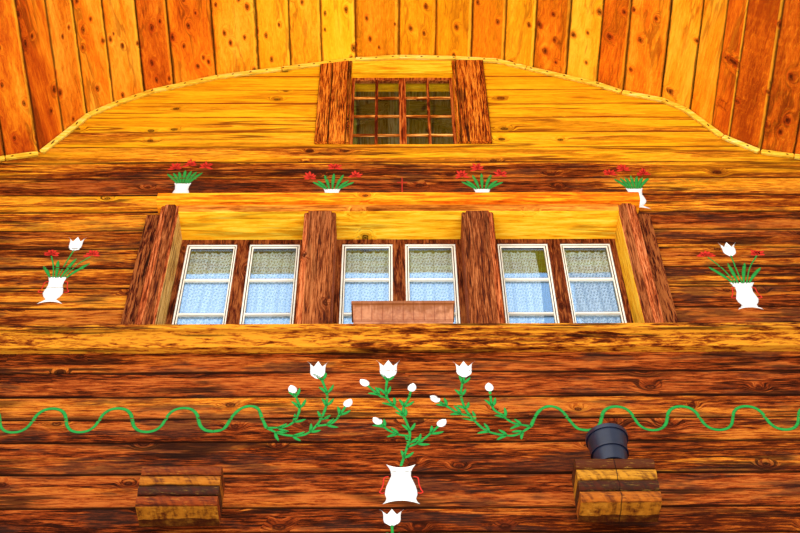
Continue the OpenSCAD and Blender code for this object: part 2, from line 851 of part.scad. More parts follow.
module eave_boards() {
    top = cover_z + cover_t * slant - roof_x * slope;
    color("#8a4a1c") for (s = [-1, 1])
        box(min(s * roof_x, s * (roof_x + edge_board_t)), max(s * roof_x, s * (roof_x + edge_board_t)),
            roof_y0 - edge_board_t, roof_y1 + edge_board_t, top - eave_board_d, top);
}

// The section of the board between two joints, in the plane square to the boards' run
module lining_board(a, b) {
    c = cos(lining_rise);
    g = lining_joint / 2;
    polygon([[a[0] + g, a[1] * c], [b[0] - g, b[1] * c], [b[0] - g, (b[1] + lining_t) * c],
        [a[0] + g, (a[1] + lining_t) * c]]);
}

// Flat boards side by side, which rise from the wall to the verge
module arch_lining() {
    color("#eda21c") for (i = [0:len(arch_line) - 2]) intersection() {
        translate([0, front_y, spring_z]) rotate([90 - lining_rise, 0, 0])
            translate([0, 0, -arch_rise]) linear_extrude(height = 2 * arch_rise + front_over)
                lining_board(arch_line[i], arch_line[i + 1]);
        box(-half_w, half_w, roof_y0 + spandrel_t, front_y, plinth_h, ridge_z);
    }
}

module arch_strip() {
    color("#f4cf5a") along_y(front_y - strip_t, front_y) translate([0, spring_z])
        intersection() {
            polygon(concat([for (p = arch_line) [p[0], p[1] - strip_h]], reversed(arch_line)));
            translate([-wing_x, -arch_rise]) square([2 * wing_x, 3 * arch_rise]);
        }
}

module arch_spandrel() {
    lower = [for (p = arch_line) [p[0], spring_z + p[1] + verge_rise]];
    color("#c9791c") along_y(roof_y0, roof_y0 + spandrel_t)
        polygon(concat(lower, [[wing_x, cover_under(wing_x)], [0, cover_z], [-wing_x, cover_under(wing_x)]]));
}

// A trough's section: rounded ribs one above the other along its front
module trough_profile(height) {
    rib = height / trough_ribs;
    translate([-trough_d / 2 + rib_out, 0]) square([trough_d - rib_out, height]);
    for (k = [0:trough_ribs - 1])
        translate([-trough_d / 2 + rib_out, (k + 0.5) * rib]) scale([2 * rib_out / rib, 1])
            circle(d = rib, $fn = 32);
}

module wall_troughs() {
    color("#c77a22") for (t = troughs)
        translate([t[0], front_y - trough_gap - trough_d / 2, t[1] - t[2]]) difference() {
            along_x(trough_w) trough_profile(t[2]);
            box(-trough_w / 2 + trough_t, trough_w / 2 - trough_t, -trough_d / 2 + rib_out + trough_t / 2,
                trough_d / 2 - trough_t, trough_t, t[2] + past);
        }
}

// Flat irons from the logs, each hooked over a trough's back
module trough_brackets() {
    back = trough_gap + trough_t;
    color("#2b2624") for (t = troughs, k = [-1, 1])
        translate([t[0] + k * trough_w / 3, front_y, t[1]]) {
            box(-iron_w / 2, iron_w / 2, -back - iron_t, 0, 0, iron_t);
            box(-iron_w / 2, iron_w / 2, -back - iron_t, -back, -hook_h, 0);
            box(-iron_w / 2, iron_w / 2, -iron_t, 0, -hook_h, 0);
        }
}

// A level slice of the planter, drawn in by an amount on each side
module planter_slice(inset, z, h) {
    translate([-planter_w / 2 + inset, -planter_d / 2 + inset, z])
        cube([planter_w - 2 * inset, planter_d - 2 * inset, h]);
}

// A trough that widens upwards to a rim
module ledge_planter() {
    skin = 1;
    side = planter_rim_out;
    foot = side + planter_taper / 2;
    color("#c9683a") translate([0, front_y - ledge_out + planter_d / 2, ledge_z]) difference() {
        union() {
            hull() {
                planter_slice(foot, 0, skin);
                planter_slice(side, planter_h - skin, skin);
            }
            planter_slice(0, planter_h - planter_rim_h, planter_rim_h);
        }
        hull() {
            planter_slice(foot + planter_t, planter_t, skin);
            planter_slice(side + planter_t, planter_h + past, skin);
        }
    }
}

module pot() {
    side_r = pot_r - pot_rim_out;
    ring_top = pot_ring_z + pot_ring_h;
    ring_r = pot_foot_r + (side_r - pot_foot_r) * ring_top / (pot_h - pot_rim_h);
    color("#1d2540") translate([trough_x_right, front_y - trough_gap - trough_d / 2, trough_z_right])
        rotate_extrude($fn = 64) polygon([[0, 0], [pot_foot_r, 0],
            [ring_r - pot_ring_out / 2, pot_ring_z], [ring_r + pot_ring_out, pot_ring_z],
            [ring_r + pot_ring_out, ring_top], [ring_r, ring_top], [side_r, pot_h - pot_rim_h],
            [pot_r, pot_h - pot_rim_h], [pot_r, pot_h], [side_r - pot_t, pot_h],
            [pot_foot_r - pot_t, pot_t], [0, pot_t]]);
}

module chimney() {
    color("#b9b1a2") translate([stack_x, stack_y, 0]) difference() {
        union() {
            box(-stack_w / 2, stack_w / 2, -stack_d / 2, stack_d / 2, slab_t, stack_z);
            box(-stack_w / 2 - cap_out, stack_w / 2 + cap_out, -stack_d / 2 - cap_out,
                stack_d / 2 + cap_out, stack_z - cap_t, stack_z);
        }
        translate([0, 0, slab_t + flue_r]) cylinder(r = flue_r, h = stack_z, $fn = 48);
    }
}

basement_floor();
front_basement_wall();
back_basement_wall();
left_basement_wall();
right_basement_wall();
basement_frames();
basement_glass();
door_frame();
entrance_door();
living_floor();
upper_floor();
attic_floor();
front_wall();
back_wall();
left_wall();
right_wall();
ridge_purlin();
middle_purlins();
eave_purlins();
rafters();
roof_left();
roof_right();
ridge_cap();
front_verge_boards();
back_verge_boards();
eave_boards();
arch_lining();
arch_strip();
arch_spandrel();
front_ledges();
front_posts();
front_cornices();
front_side_boards();
front_frames();
front_casements();
front_glass();
attic_casings();
attic_casements();
side_casings();
side_frames();
side_casements();
side_glass();
wall_troughs();
trough_brackets();
ledge_planter();
pot();
chimney();
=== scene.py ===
import logging
import math
from dataclasses import dataclass, field, replace
from enum import Enum

import bmesh
import bpy
import numpy as np
from mathutils import Matrix, Vector


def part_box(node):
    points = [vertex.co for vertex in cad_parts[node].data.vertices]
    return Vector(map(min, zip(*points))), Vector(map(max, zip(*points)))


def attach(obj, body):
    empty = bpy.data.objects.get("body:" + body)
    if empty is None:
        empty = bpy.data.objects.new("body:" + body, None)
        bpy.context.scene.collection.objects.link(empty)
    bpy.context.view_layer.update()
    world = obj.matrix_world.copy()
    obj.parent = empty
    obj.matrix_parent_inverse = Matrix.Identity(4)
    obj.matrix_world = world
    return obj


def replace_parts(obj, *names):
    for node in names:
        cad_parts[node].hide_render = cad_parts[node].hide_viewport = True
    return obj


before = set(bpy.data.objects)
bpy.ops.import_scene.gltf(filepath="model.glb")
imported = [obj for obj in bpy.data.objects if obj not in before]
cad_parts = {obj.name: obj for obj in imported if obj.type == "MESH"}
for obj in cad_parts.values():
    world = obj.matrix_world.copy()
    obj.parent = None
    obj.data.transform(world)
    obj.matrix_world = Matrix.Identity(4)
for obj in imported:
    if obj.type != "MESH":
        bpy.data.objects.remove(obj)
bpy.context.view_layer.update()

log = logging.getLogger("chalet")
IMAGE_W = 800
ROOT = "root"
FAR = 99.0
# Directions: to the right as seen from the front, from the front to the back, and up.
RIGHT, DEEP, UP = np.eye(3)


def tint(code: str) -> tuple[float, float, float, float]:
    """Turns a screen colour into a linear one.

    Args:
        code: six hexadecimal digits, red, green and blue.

    Returns:
        Linear red, green, blue and an alpha of one.
    """
    levels = [int(code[i:i + 2], 16) / 255 for i in (0, 2, 4)]
    return tuple(c / 12.92 if c <= 0.04045 else ((c + 0.055) / 1.055) ** 2.4 for c in levels) + (1.0,)


class Value:
    """An output of a shader node. Arithmetic on it adds Math nodes."""

    def __init__(self, graph: "Graph", socket: bpy.types.NodeSocket) -> None:
        """Keeps the graph and the socket."""
        self.graph = graph
        self.socket = socket

    def math(self, operation: str, *operands: "Value | float") -> "Value":
        """Adds one Math node with the given operands."""
        return self.graph.node("ShaderNodeMath", {"operation": operation}, dict(enumerate(operands)))

    def __add__(self, other: "Value | float") -> "Value":
        """Sum."""
        return self.math("ADD", self, other)

    def __radd__(self, other: float) -> "Value":
        """Sum with a number on the left."""
        return self.math("ADD", other, self)

    def __sub__(self, other: "Value | float") -> "Value":
        """Difference."""
        return self.math("SUBTRACT", self, other)

    def __rsub__(self, other: float) -> "Value":
        """Difference from a number on the left."""
        return self.math("SUBTRACT", other, self)

    def __mul__(self, other: "Value | float") -> "Value":
        """Product."""
        return self.math("MULTIPLY", self, other)

    def __rmul__(self, other: float) -> "Value":
        """Product with a number on the left."""
        return self.math("MULTIPLY", other, self)

    def __truediv__(self, other: "Value | float") -> "Value":
        """Quotient."""
        return self.math("DIVIDE", self, other)

    def __gt__(self, other: "Value | float") -> "Value":
        """One where this is greater, else zero."""
        return self.math("GREATER_THAN", self, other)

    def __lt__(self, other: "Value | float") -> "Value":
        """One where this is less, else zero."""
        return self.math("LESS_THAN", self, other)

    def __abs__(self) -> "Value":
        """Size without sign."""
        return self.math("ABSOLUTE", self)

    def most(self, other: "Value | float") -> "Value":
        """The greater of two values."""
        return self.math("MAXIMUM", self, other)

    def part(self) -> "Value":
        """What is left over the whole number."""
        return self.math("FRACT", self)

    def sine(self) -> "Value":
        """The sine, of radians."""
        return self.math("SINE", self)

    def ease(self, low: float, high: float) -> "Value":
        """Goes from zero at low to one at high along a smooth step, and is held at both ends."""
        return self.graph.node("ShaderNodeMapRange", {"interpolation_type": "SMOOTHSTEP"},
                               {"Value": self, "From Min": low, "From Max": high})


class Graph:
    """The node tree of a material or of the world, built by expressions."""

    def __init__(self, name: str, world: bool = False) -> None:
        """Starts an empty material, or an empty world, of that name."""
        self.world = world
        self.owner = (bpy.data.worlds if world else bpy.data.materials).new(name)
        self.owner.use_nodes = True
        self.tree = self.owner.node_tree
        self.tree.nodes.clear()

    def node(self, kind: str, settings: dict | None = None, inputs: dict | None = None,
             output: int | str = 0) -> Value:
        """Adds a node.

        Args:
            kind: the node's type name.
            settings: attributes set first; "stops" fills a colour ramp with (place, colour) pairs.
            inputs: values or links by socket name or number.
            output: which output is handed back.

        Returns:
            That output.
        """
        made = self.tree.nodes.new(kind)
        for key, value in (settings or {}).items():
            if key == "stops":
                self._fill_ramp(made.color_ramp, value)
            else:
                setattr(made, key, value)
        for key, value in (inputs or {}).items():
            if isinstance(value, Value):
                self.tree.links.new(value.socket, made.inputs[key])
            else:
                made.inputs[key].default_value = value
        return Value(self, made.outputs[output])

    def _fill_ramp(self, ramp: bpy.types.ColorRamp, stops: list) -> None:
        """Puts (place, colour) pairs into a colour ramp."""
        while len(ramp.elements) < len(stops):
            ramp.elements.new(0.5)
        for element, (place, colour) in zip(ramp.elements, sorted(stops, key=lambda s: s[0])):
            element.position = place
            element.color = colour

    def place(self) -> Value:
        """The point's place in the object's own space, in metres."""
        return self.node("ShaderNodeTexCoord", output="Object")

    def axes(self, vector: Value) -> tuple[Value, Value, Value]:
        """Splits a vector into its three numbers."""
        first = self.node("ShaderNodeSeparateXYZ", None, {0: vector})
        outputs = first.socket.node.outputs
        return tuple(Value(self, outputs[i]) for i in range(3))

    def vector(self, x: Value | float, y: Value | float, z: Value | float) -> Value:
        """Joins three numbers into a vector."""
        return self.node("ShaderNodeCombineXYZ", None, {0: x, 1: y, 2: z})

    def trait(self, name: str) -> Value:
        """A number that the mesh carries under that name."""
        return self.node("ShaderNodeAttribute", {"attribute_name": name}, output="Fac")

    def noise(self, vector: Value, scale: float = 1.0, detail: float = 3.0, roughness: float = 0.55,
              distortion: float = 0.0) -> Value:
        """Fractal noise, from about 0.2 to 0.8."""
        return self.node("ShaderNodeTexNoise", {"noise_dimensions": "3D"},
                         {"Vector": vector, "Scale": scale, "Detail": detail, "Roughness": roughness,
                          "Distortion": distortion})

    def stretched(self, x: Value, y: Value, z: Value | float, detail: float, roughness: float = 0.55,
                  distortion: float = 0.0) -> Value:
        """Noise at three numbers, which stretch it as they are scaled."""
        return self.noise(self.vector(x, y, z), 1.0, detail, roughness, distortion)

    def spots(self, vector: Value) -> tuple[Value, Value]:
        """Distance to the nearest of scattered points, one to a unit square, and its random number."""
        near = self.node("ShaderNodeTexVoronoi", {"voronoi_dimensions": "2D"},
                         {"Vector": vector, "Scale": 1.0}, output="Distance")
        return near, Value(self, near.socket.node.outputs["Color"])

    def dots(self, u: Value, v: Value, far: float, near: float) -> Value:
        """A round dot in each unit square: zero at the squared distance far, and one at near."""
        across, up = u.part() - 0.5, v.part() - 0.5
        return (across * across + up * up).ease(far, near)

    def chance(self, value: Value) -> Value:
        """A random number from 0 to 1 that depends on the value alone."""
        return self.node("ShaderNodeTexWhiteNoise", {"noise_dimensions": "1D"}, {"W": value}, output="Value")

    def ramp(self, value: Value, stops: list) -> Value:
        """A colour looked up by a value."""
        return self.node("ShaderNodeValToRGB", {"stops": stops}, {0: value})

    def mix(self, factor: Value | float, low: Value | tuple, high: Value | tuple) -> Value:
        """Blends two colours."""
        return self.node("ShaderNodeMix", {"data_type": "RGBA", "clamp_factor": True},
                         {0: factor, 6: low, 7: high}, output=2)

    def bump(self, height: Value, distance: float) -> Value:
        """A normal tilted by a height, whose full range stands for distance in metres."""
        return self.node("ShaderNodeBump", None, {"Height": height, "Distance": distance, "Strength": 1.0})

    def ray(self, kind: str) -> Value:
        """One where the ray is of that kind, such as "Shadow", else zero."""
        return self.node("ShaderNodeLightPath", output=f"Is {kind} Ray")

    def surface(self, **inputs: "Value | float | tuple") -> Value:
        """A Principled shader; underscores in the names stand for spaces."""
        named = {key.replace("_", " "): value for key, value in inputs.items()}
        return self.node("ShaderNodeBsdfPrincipled", None, named)

    def finish(self, shader: Value) -> bpy.types.Material | bpy.types.World:
        """Sends a shader to the output and hands back the material or the world."""
        kind = "ShaderNodeOutputWorld" if self.world else "ShaderNodeOutputMaterial"
        self.tree.links.new(shader.socket, self.tree.nodes.new(kind).inputs["Surface"])
        return self.owner


class Grain(Enum):
    """The way in which a piece's grain runs."""

    ACROSS = 0
    DEPTH = 1
    UPRIGHT = 2


@dataclass(frozen=True)
class Accent:
    """A part of a piece, between two corners, that takes tones of its own."""

    low: tuple[float, float, float]
    high: tuple[float, float, float]
    tones: tuple[str, ...]

    def inside(self, axes: tuple[Value, Value, Value]) -> Value | float:
        """One within the corners, else zero. A side at FAR has no limit."""
        share = 1.0
        for axis, low, high in zip(axes, self.low, self.high):
            if low > -FAR:
                share = (axis > low) * share
            if high < FAR:
                share = (axis < high) * share
        return share


@dataclass(frozen=True)
class Knot:
    """The colours of a wood's knots: a core, and a halo that reaches so many times as far."""

    core: str
    halo: str
    strength: float
    reach: float


DARK_KNOT = Knot("300f05", "5c1e06", 0.35, 2.4)
AMBER_KNOT = Knot("3c1004", "b43a0a", 0.5, 1.7)


@dataclass(frozen=True)
class Wood:
    """Weathered spruce with fibres, bands, knots, checks and a tone of its own for each board.

    The age that a mesh carries leads from tones over middle to aged, and calm flattens the first of them.
    The fibres have pace waves to a metre along the grain and fibre waves across it. A patch is two places
    across, two heights and what it adds to the age. The nails stand that far from each other.
    """

    name: str
    tones: tuple[str, ...]
    grain: Grain = Grain.ACROSS
    middle: tuple[str, ...] = ()
    aged: tuple[str, ...] = ()
    calm: float = 0.6
    fibre: float = 80.0
    pace: float = 4.0
    knot: Knot = DARK_KNOT
    knot_size: float = 0.17
    knot_share: float = 0.2
    check: float = 0.8
    vary: float = 0.3
    contrast: float = 1.0
    relief: float = 0.002
    roughness: float = 0.75
    edge_dark: float = 0.0
    plateau: float = 0.0
    nails: float = 0.0
    stain: float = 0.0
    line_share: float = 1.0
    cloud: float = 0.6
    edge_from: float = 0.435
    edge_highlight: float = 0.0
    patches: tuple[tuple[float, ...], ...] = ()
    accents: tuple[Accent, ...] = ()
    dark: str = "1c0a04"
    fresh_seam: str = "863006"
    stain_tone: str = "2a1a14"
    edge_highlight_tone: str = "fcc430"

    def material(self) -> bpy.types.Material:
        """Builds the shader.

        The tones come first and the accents next. Over them lie the board's edges, nails, knots and checks.
        The lines, the knots and the checks give the relief.
        """
        g = Graph(self.name)
        f = Figure(g, self)
        dark = tint(self.dark)
        tone, step = self._tone(g, f)
        colour = g.ramp(tone * (self.calm if self.aged else 1.0) + 0.5, self._stops(self.tones))
        tone = tone + 0.5
        if self.aged:
            colour = self._weather(g, f, colour, tone, step)
        for accent in self.accents:
            colour = g.mix(accent.inside((f.x, f.y, f.z)), colour, g.ramp(tone, self._stops(accent.tones)))
        check = self._checks(f)
        seam = g.mix(f.age.ease(0.0, 0.4), tint(self.fresh_seam), dark) if self.aged else dark
        if self.edge_dark:
            colour = self._edges(g, f, colour, seam)
        if self.nails:
            place, rise = ((f.along + f.slow * 0.1) / self.nails).part() - 0.5, f.share - 0.5
            colour = g.mix((place * place * 6.8 + rise * rise).ease(0.05, 0.02) * 0.9, colour, dark)
        halo = f.ragged.ease(self.knot_size * self.knot.reach, self.knot_size) * f.chosen
        colour = g.mix(halo * self.knot.strength, colour, tint(self.knot.halo))
        ring = (f.spot * 60.0 + f.fibres * 9.0).sine() * 0.25 + 0.75
        colour = g.mix(f.core * ring * 0.95, colour, tint(self.knot.core))
        colour = g.mix(check, colour, seam)
        height = f.bands * 0.5 + f.streaks * 0.8 + f.fibres + 0.5 - check * 1.2 - f.core * 0.4
        return g.finish(g.surface(Base_Color=colour, Roughness=self.roughness, Specular_IOR_Level=0.06,
                                  Normal=g.bump(height, self.relief)))

    def _tone(self, g: Graph, f: "Figure") -> tuple[Value, Value | float]:
        """A point's tone, from dark to pale about zero, and whether it stands on the plateau."""
        lines = f.fibres * 3.8 + f.streaks * 0.9
        tone = (lines * self.line_share + (f.bands + f.slow) * self.cloud) * self.contrast
        tone = tone + (g.chance(f.seed + 0.37) - 0.5) * self.vary
        if not self.plateau:
            return tone, 0.0
        step = f.noise(0.45, 7.0, 2.0, 0.6, deep=3.0, loose=True).ease(0.5, 0.515)
        return tone + (step - 0.5) * self.plateau, step

    def _weather(self, g: Graph, f: "Figure", colour: Value, tone: Value, step: Value | float) -> Value:
        """Blends the first tones over the middle ones to the aged ones, with dark stains on the old parts.

        Args:
            g: the graph.
            f: the wood's figure.
            colour: the colour in the first tones.
            tone: where the point lies on the other ramps.
            step: whether it stands on the plateau, which looks a little younger.

        Returns:
            The weathered colour.
        """
        age = f.age
        for x0, x1, z0, z1, amount in self.patches:
            inside = f.x.ease(x0 - 0.4, x0 + 0.4) * f.x.ease(x1 + 0.4, x1 - 0.4)
            age = age + inside * f.z.ease(z0 - 0.03, z0 + 0.03) * f.z.ease(z1 + 0.03, z1 - 0.03) * amount
        worn = age + f.slow * 0.55 + f.bands * 0.6 + f.streaks * 0.3 - (step - 0.5) * 0.08
        for tones, low, high in ((self.middle, 0.0, 0.5), (self.aged, 0.4, 1.0)):
            colour = g.mix(worn.ease(low, high), colour, g.ramp(tone, self._stops(tones)))
        if self.stain:
            blot = f.noise(1.9, 8.0, 4.0, 0.62, loose=True).ease(0.5, 0.62)
            colour = g.mix(blot * age.ease(0.15, 0.7) * self.stain, colour, tint(self.stain_tone))
        return colour

    def _checks(self, f: "Figure") -> Value:
        """Drying cracks: thin slices of slow noise where a second noise lets them, wider in old wood."""
        line = abs(f.noise(0.4, 9.0, 3.0, 0.6, bend=1.0) - 0.5)
        gate = f.noise(1.3, 6.0, 1.0).ease(0.46, 0.6)
        if not self.aged:
            return line.ease(0.04, 0.01) * gate * self.check
        line = line - f.age.ease(0.4, 1.0) * 0.014
        return line.ease(0.04, 0.01) * gate * self.check * (f.age * 1.2 + 0.75).ease(0.0, 1.0)

    def _edges(self, g: Graph, f: "Figure", colour: Value, seam: Value | tuple) -> Value:
        """Darkens the board's edges along a wavering line, and paints a highlight on one bevelled edge of
        some boards.
        """
        edge = abs(f.share - 0.5) + f.slow * 0.06 + f.fibres * 0.06 + f.streaks * 0.09
        # Painted highlight: a pale line along one bevelled edge of some boards.
        if self.edge_highlight:
            some = g.chance(f.seed + 0.81) * self.edge_highlight
            colour = g.mix(f.share.ease(0.885, 0.915) * some, colour, tint(self.edge_highlight_tone))
        return g.mix(edge.ease(self.edge_from, self.edge_from + 0.055) * self.edge_dark, colour, seam)

    def _stops(self, tones: tuple[str, ...]) -> list:
        """Places five tones, from dark to pale, on the ramp."""
        return [(place, tint(tone)) for place, tone in zip((0.14, 0.36, 0.5, 0.65, 0.88), tones)]


class Figure:
    """A wood's figure at a point: its place to the grain, the nearest knot and the noises of its lines.

    The mesh's own "seed" shifts the pattern by board, its "age" tells how old a face is, and its "across" is
    the share of the board's width.
    """

    def __init__(self, g: Graph, wood: Wood) -> None:
        """Adds the nodes: scattered spots as knots, and noise along the grain that they and a sway bend."""
        self.g = g
        self.x, self.y, self.z = g.axes(g.place())
        self.seed, self.age, self.share = (g.trait(name) for name in ("seed", "age", "across"))
        x, y, z = self.x, self.y, self.z
        self.along, side, back = {Grain.ACROSS: (x, z, y), Grain.DEPTH: (y, x, z),
                                  Grain.UPRIGHT: (z, x, y)}[wood.grain]
        self.shift = self.seed * 37.0
        sway = g.stretched(self.along * 0.7 + self.shift, side * 2.0, back * 2.0, 1.0) - 0.5
        self.across = side + sway * 0.03
        self.depth = back + sway * 0.02
        size, rare = wood.knot_size, wood.knot_share
        spot, luck = g.spots(g.vector(self.along * 4.0 + self.shift,
                                      self.across * 6.5 + self.depth * 3.0 + self.shift, 0.0))
        self.chosen = luck > 1.0 - rare
        self.spot = spot / (0.5 + (luck - 1.0 + rare) * (0.7 / max(rare, 0.01)))
        rough = g.stretched(self.along * 30.0, self.across * 45.0, self.depth * 45.0, 3.0) - 0.5
        self.ragged = self.spot + rough * size
        self.core = self.ragged.ease(size, size * 0.82) * self.chosen
        self.swirl = self.spot.ease(size * 3.5, 0.0) * self.chosen
        self.fibres = self.noise(wood.pace, wood.fibre, 4.0, 0.75, 0.4, bend=5.0) - 0.5
        self.streaks = self.noise(wood.pace * 0.33, wood.fibre * 0.42, 3.0, 0.65, 0.6, bend=2.0) - 0.5
        self.bands = self.noise(0.55, 10.0, 3.0, bend=1.2) - 0.5
        self.slow = self.noise(1.1, 4.0, 2.0, loose=True) - 0.5

    def noise(self, pace: float, rate: float, detail: float, roughness: float = 0.55,
              distortion: float = 0.0, bend: float = 0.0, deep: float | None = None,
              loose: bool = False) -> Value:
        """Noise stretched along the grain.

        Args:
            pace: waves to a metre along the grain.
            rate: waves to a metre across it.
            detail: as the noise node takes it, like the next two.
            roughness: see there.
            distortion: see there.
            bend: how far a knot bends it.
            deep: waves to a metre into the board, or None for the rate across.
            loose: whether each board starts at a depth of its own.

        Returns:
            The noise.
        """
        across = self.across * rate + self.swirl * bend if bend else self.across * rate
        depth = self.depth * (rate if deep is None else deep)
        depth = depth + self.shift if loose else depth
        return self.g.stretched(self.along * pace + self.shift, across, depth, detail, roughness, distortion)


@dataclass(frozen=True)
class Plaster:
    """Lime render with soft stains and a trowelled surface."""

    name: str
    base: str
    stain: str
    relief: float = 0.006

    def material(self) -> bpy.types.Material:
        """Builds the shader: large stains, small grains and slow waves."""
        g = Graph(self.name)
        p = g.place()
        x, y, z = g.axes(p)
        broad = g.noise(p, 0.8, 4.0)
        grains = g.noise(p, 45.0, 4.0, 0.7)
        waves = g.noise(p, 5.0, 3.0)
        splash = (z + (broad - 0.5) * 0.5).ease(0.55, 0.0)
        colour = g.mix((broad.ease(0.4, 0.7) * 0.5 + splash * 0.45 + (grains - 0.5) * 0.4).ease(0.0, 1.0),
                       tint(self.base), tint(self.stain))
        return g.finish(g.surface(Base_Color=colour, Roughness=0.9,
                                  Normal=g.bump(grains * 0.35 + waves * 0.65, self.relief)))


@dataclass(frozen=True)
class Paint:
    """A brushed coat of paint, a little worn, with painted shade in the grooves between two shares of the
    width.
    """

    name: str
    coat: str
    worn: str
    grooves: tuple[tuple[float, float], ...] = ()
    groove_shade_and_rim_dirt: str = "4a2c16"
    roughness: float = 0.45
    relief: float = 0.0008

    def material(self) -> bpy.types.Material:
        """Builds the shader: brush marks, a slightly darker worn tone and painted shade in the grooves."""
        g = Graph(self.name)
        p = g.place()
        marks = g.noise(p, 60.0, 4.0, 0.7)
        patches = g.noise(p, 7.0, 3.0)
        colour = g.mix((patches * 0.5 + marks * 0.5).ease(0.42, 0.7) * 0.6, tint(self.coat), tint(self.worn))
        # Painted shade: the bands between these shares of the width are darkened.
        for low, high in self.grooves:
            share = g.trait("across")
            colour = g.mix((share > low) * (share < high), colour, tint(self.groove_shade_and_rim_dirt))
        return g.finish(g.surface(Base_Color=colour, Roughness=self.roughness,
                                  Normal=g.bump(marks, self.relief)))


@dataclass(frozen=True)
class Pane:
    """Slightly wavy window glass whose reflection is tinted blue, a painted sky reflection, and weaker over
    a given height, which darkens the attic panes.
    """

    name: str
    sky_tint: str
    clear: tuple[float, float, float, float] = (0.93, 0.96, 0.97, 1.0)
    mirror: float = 0.35
    wave: float = 0.0016
    dim_above: float = 8.4
    dim_share: float = 0.6

    def material(self) -> bpy.types.Material:
        """Builds the shader: clear glass mixed with a mirror tinted blue, which paints a sky reflection.
        Light falls through it undimmed.
        """
        g = Graph(self.name)
        clear = g.node("ShaderNodeBsdfTransparent", None, {0: self.clear})
        ripples = g.bump(g.noise(g.place(), 3.5, 1.0), self.wave)
        # The mirror's blue tint paints a sky reflection.
        gloss = g.node("ShaderNodeBsdfGlossy", None,
                       {0: tint(self.sky_tint), "Roughness": 0.02, "Normal": ripples})
        # The reflection is weaker above the given height, which darkens the attic panes.
        high_part = g.axes(g.place())[2].ease(self.dim_above, self.dim_above + 0.01)
        share = (1.0 - g.ray("Shadow")) * self.mirror * (1.0 - high_part * self.dim_share)
        return g.finish(g.node("ShaderNodeMixShader", None, {0: share, 1: clear, 2: gloss}))


@dataclass(frozen=True)
class Lace:
    """Cotton lace with rows of dots and an open net, with painted shade in the folds that lie farther in."""

    name: str
    thread: str
    warmth: str
    fold_near: float
    fold_far: float
    fold_shade_tone: str = "98988e"
    speck_room_shade_tone: str = "54461c"
    rod_shadow_tone: str = "5e4c28"
    holes: float = 42.0
    dots: float = 9.0
    specks: tuple[float, float] = (38.0, 30.0)

    def material(self) -> bpy.types.Material:
        """Builds the shader on the cloth's own UV map.

        It draws a net of small holes, large closed dots, brown specks in staggered rows, whose dark tone
        paints the shaded room seen through the lace, and a painted shadow along the rod.
        """
        g = Graph(self.name)
        u, v, _ = g.axes(g.node("ShaderNodeUVMap", {"uv_map": "cloth"}))
        hole = g.dots(u * self.holes, v * self.holes, 0.12, 0.05)
        dot = g.dots(u * self.dots, v * self.dots, 0.05, 0.03)
        threads = g.stretched(u * 75.0, v * 75.0, 0.0, 3.0, 0.7)
        colour = g.mix(threads.ease(0.48, 0.66) * 0.6, tint(self.thread), tint(self.warmth))
        # Painted shade: the folds that lie farther in are darkened.
        fold_shade = g.axes(g.place())[1].ease(self.fold_near, self.fold_far)
        colour = g.mix(fold_shade * 0.6, colour, tint(self.fold_shade_tone))
        across, down = self.specks
        speck = g.dots(u * across + (v * (down / 2)).part(), v * down, 0.1, 0.06)
        # The specks' dark tone paints the shaded room seen through the lace, more so in the upper part.
        colour = g.mix(speck * (0.4 + v.ease(0.62, 0.52) * 0.35), colour, tint(self.speck_room_shade_tone))
        # A painted shadow along the rod: a wavy dark band at the top.
        rod_shadow = v + (u * 190.0).sine() * 0.004
        colour = g.mix(rod_shadow.ease(0.024, 0.016), colour, tint(self.rod_shadow_tone))
        cover = 1.0 - hole * (1.0 - dot) * 0.3
        return g.finish(g.surface(Base_Color=colour, Roughness=0.9, Alpha=cover))


@dataclass(frozen=True)
class Ribbed:
    """Trough boards of mixed tone: each rib and the underside have a colour of their own."""

    name: str
    ribs: int
    left: tuple[str, ...]
    right: tuple[str, ...]
    left_span: tuple[float, float]
    right_span: tuple[float, float]
    under: str = "a86c1a"
    grain_dark: str = "4a1a08"
    grain_pale: str = "f4b648"
    fringe_tone: str = "351206"
    seam_tone: str = "1d0a05"
    fringe: float = -4.99
    crack_x: float = 1.13

    def material(self) -> bpy.types.Material:
        """Builds the shader: ribs told apart by height, wavy seams, slanting grain and one upright crack."""
        g = Graph(self.name)
        x, y, z = g.axes(g.place())
        wave = g.stretched(x * 5.0, y * 6.0, z * 3.0, 3.0) - 0.5
        grain = g.stretched(x * 14.0 + z * 30.0, y * 18.0, z * 90.0, 5.0, 0.75)
        slant = g.stretched((x + z * 0.6) * 30.0, y * 8.0, z * 6.0, 3.0, 0.6)
        right = x > 0.0
        colour, edge = None, None
        for tones, (foot, top) in ((self.left, self.left_span), (self.right, self.right_span)):
            level = (z - foot) / ((top - foot) / self.ribs) + wave * 0.5
            side = tint(tones[0])
            for k, tone in enumerate(tones[1:], 1):
                side = g.mix(level > float(k), side, tint(tone))
            seam = abs(level.part() - 0.5).ease(0.4, 0.5)
            colour = side if colour is None else g.mix(right, colour, side)
            edge = seam if edge is None else edge + (seam - edge) * right
        foot = self.right_span[0] * right + self.left_span[0] * (1.0 - right)
        under = z < foot + 0.001
        fringe = (y + wave * 0.08 > self.fringe) * under
        crack = abs(x - self.crack_x + wave * 0.06).ease(0.004, 0.001) * 0.8
        dark = ((grain - 0.5) * 2.6 + (slant - 0.5) * 2.2 + 0.3).ease(0.0, 1.0)
        pale = ((0.5 - grain) * 3.0).ease(0.1, 1.0) * 0.6
        for share, tone in ((under, self.under), (dark, self.grain_dark), (pale, self.grain_pale),
                            (fringe * (0.4 + grain), self.fringe_tone),
                            (edge * (1.0 - under) * 0.8, self.seam_tone), (crack, self.seam_tone)):
            colour = g.mix(share, colour, tint(tone))
        return g.finish(g.surface(Base_Color=colour, Roughness=0.65, Specular_IOR_Level=0.2,
                                  Normal=g.bump(grain * 0.6 - edge - crack, 0.003)))


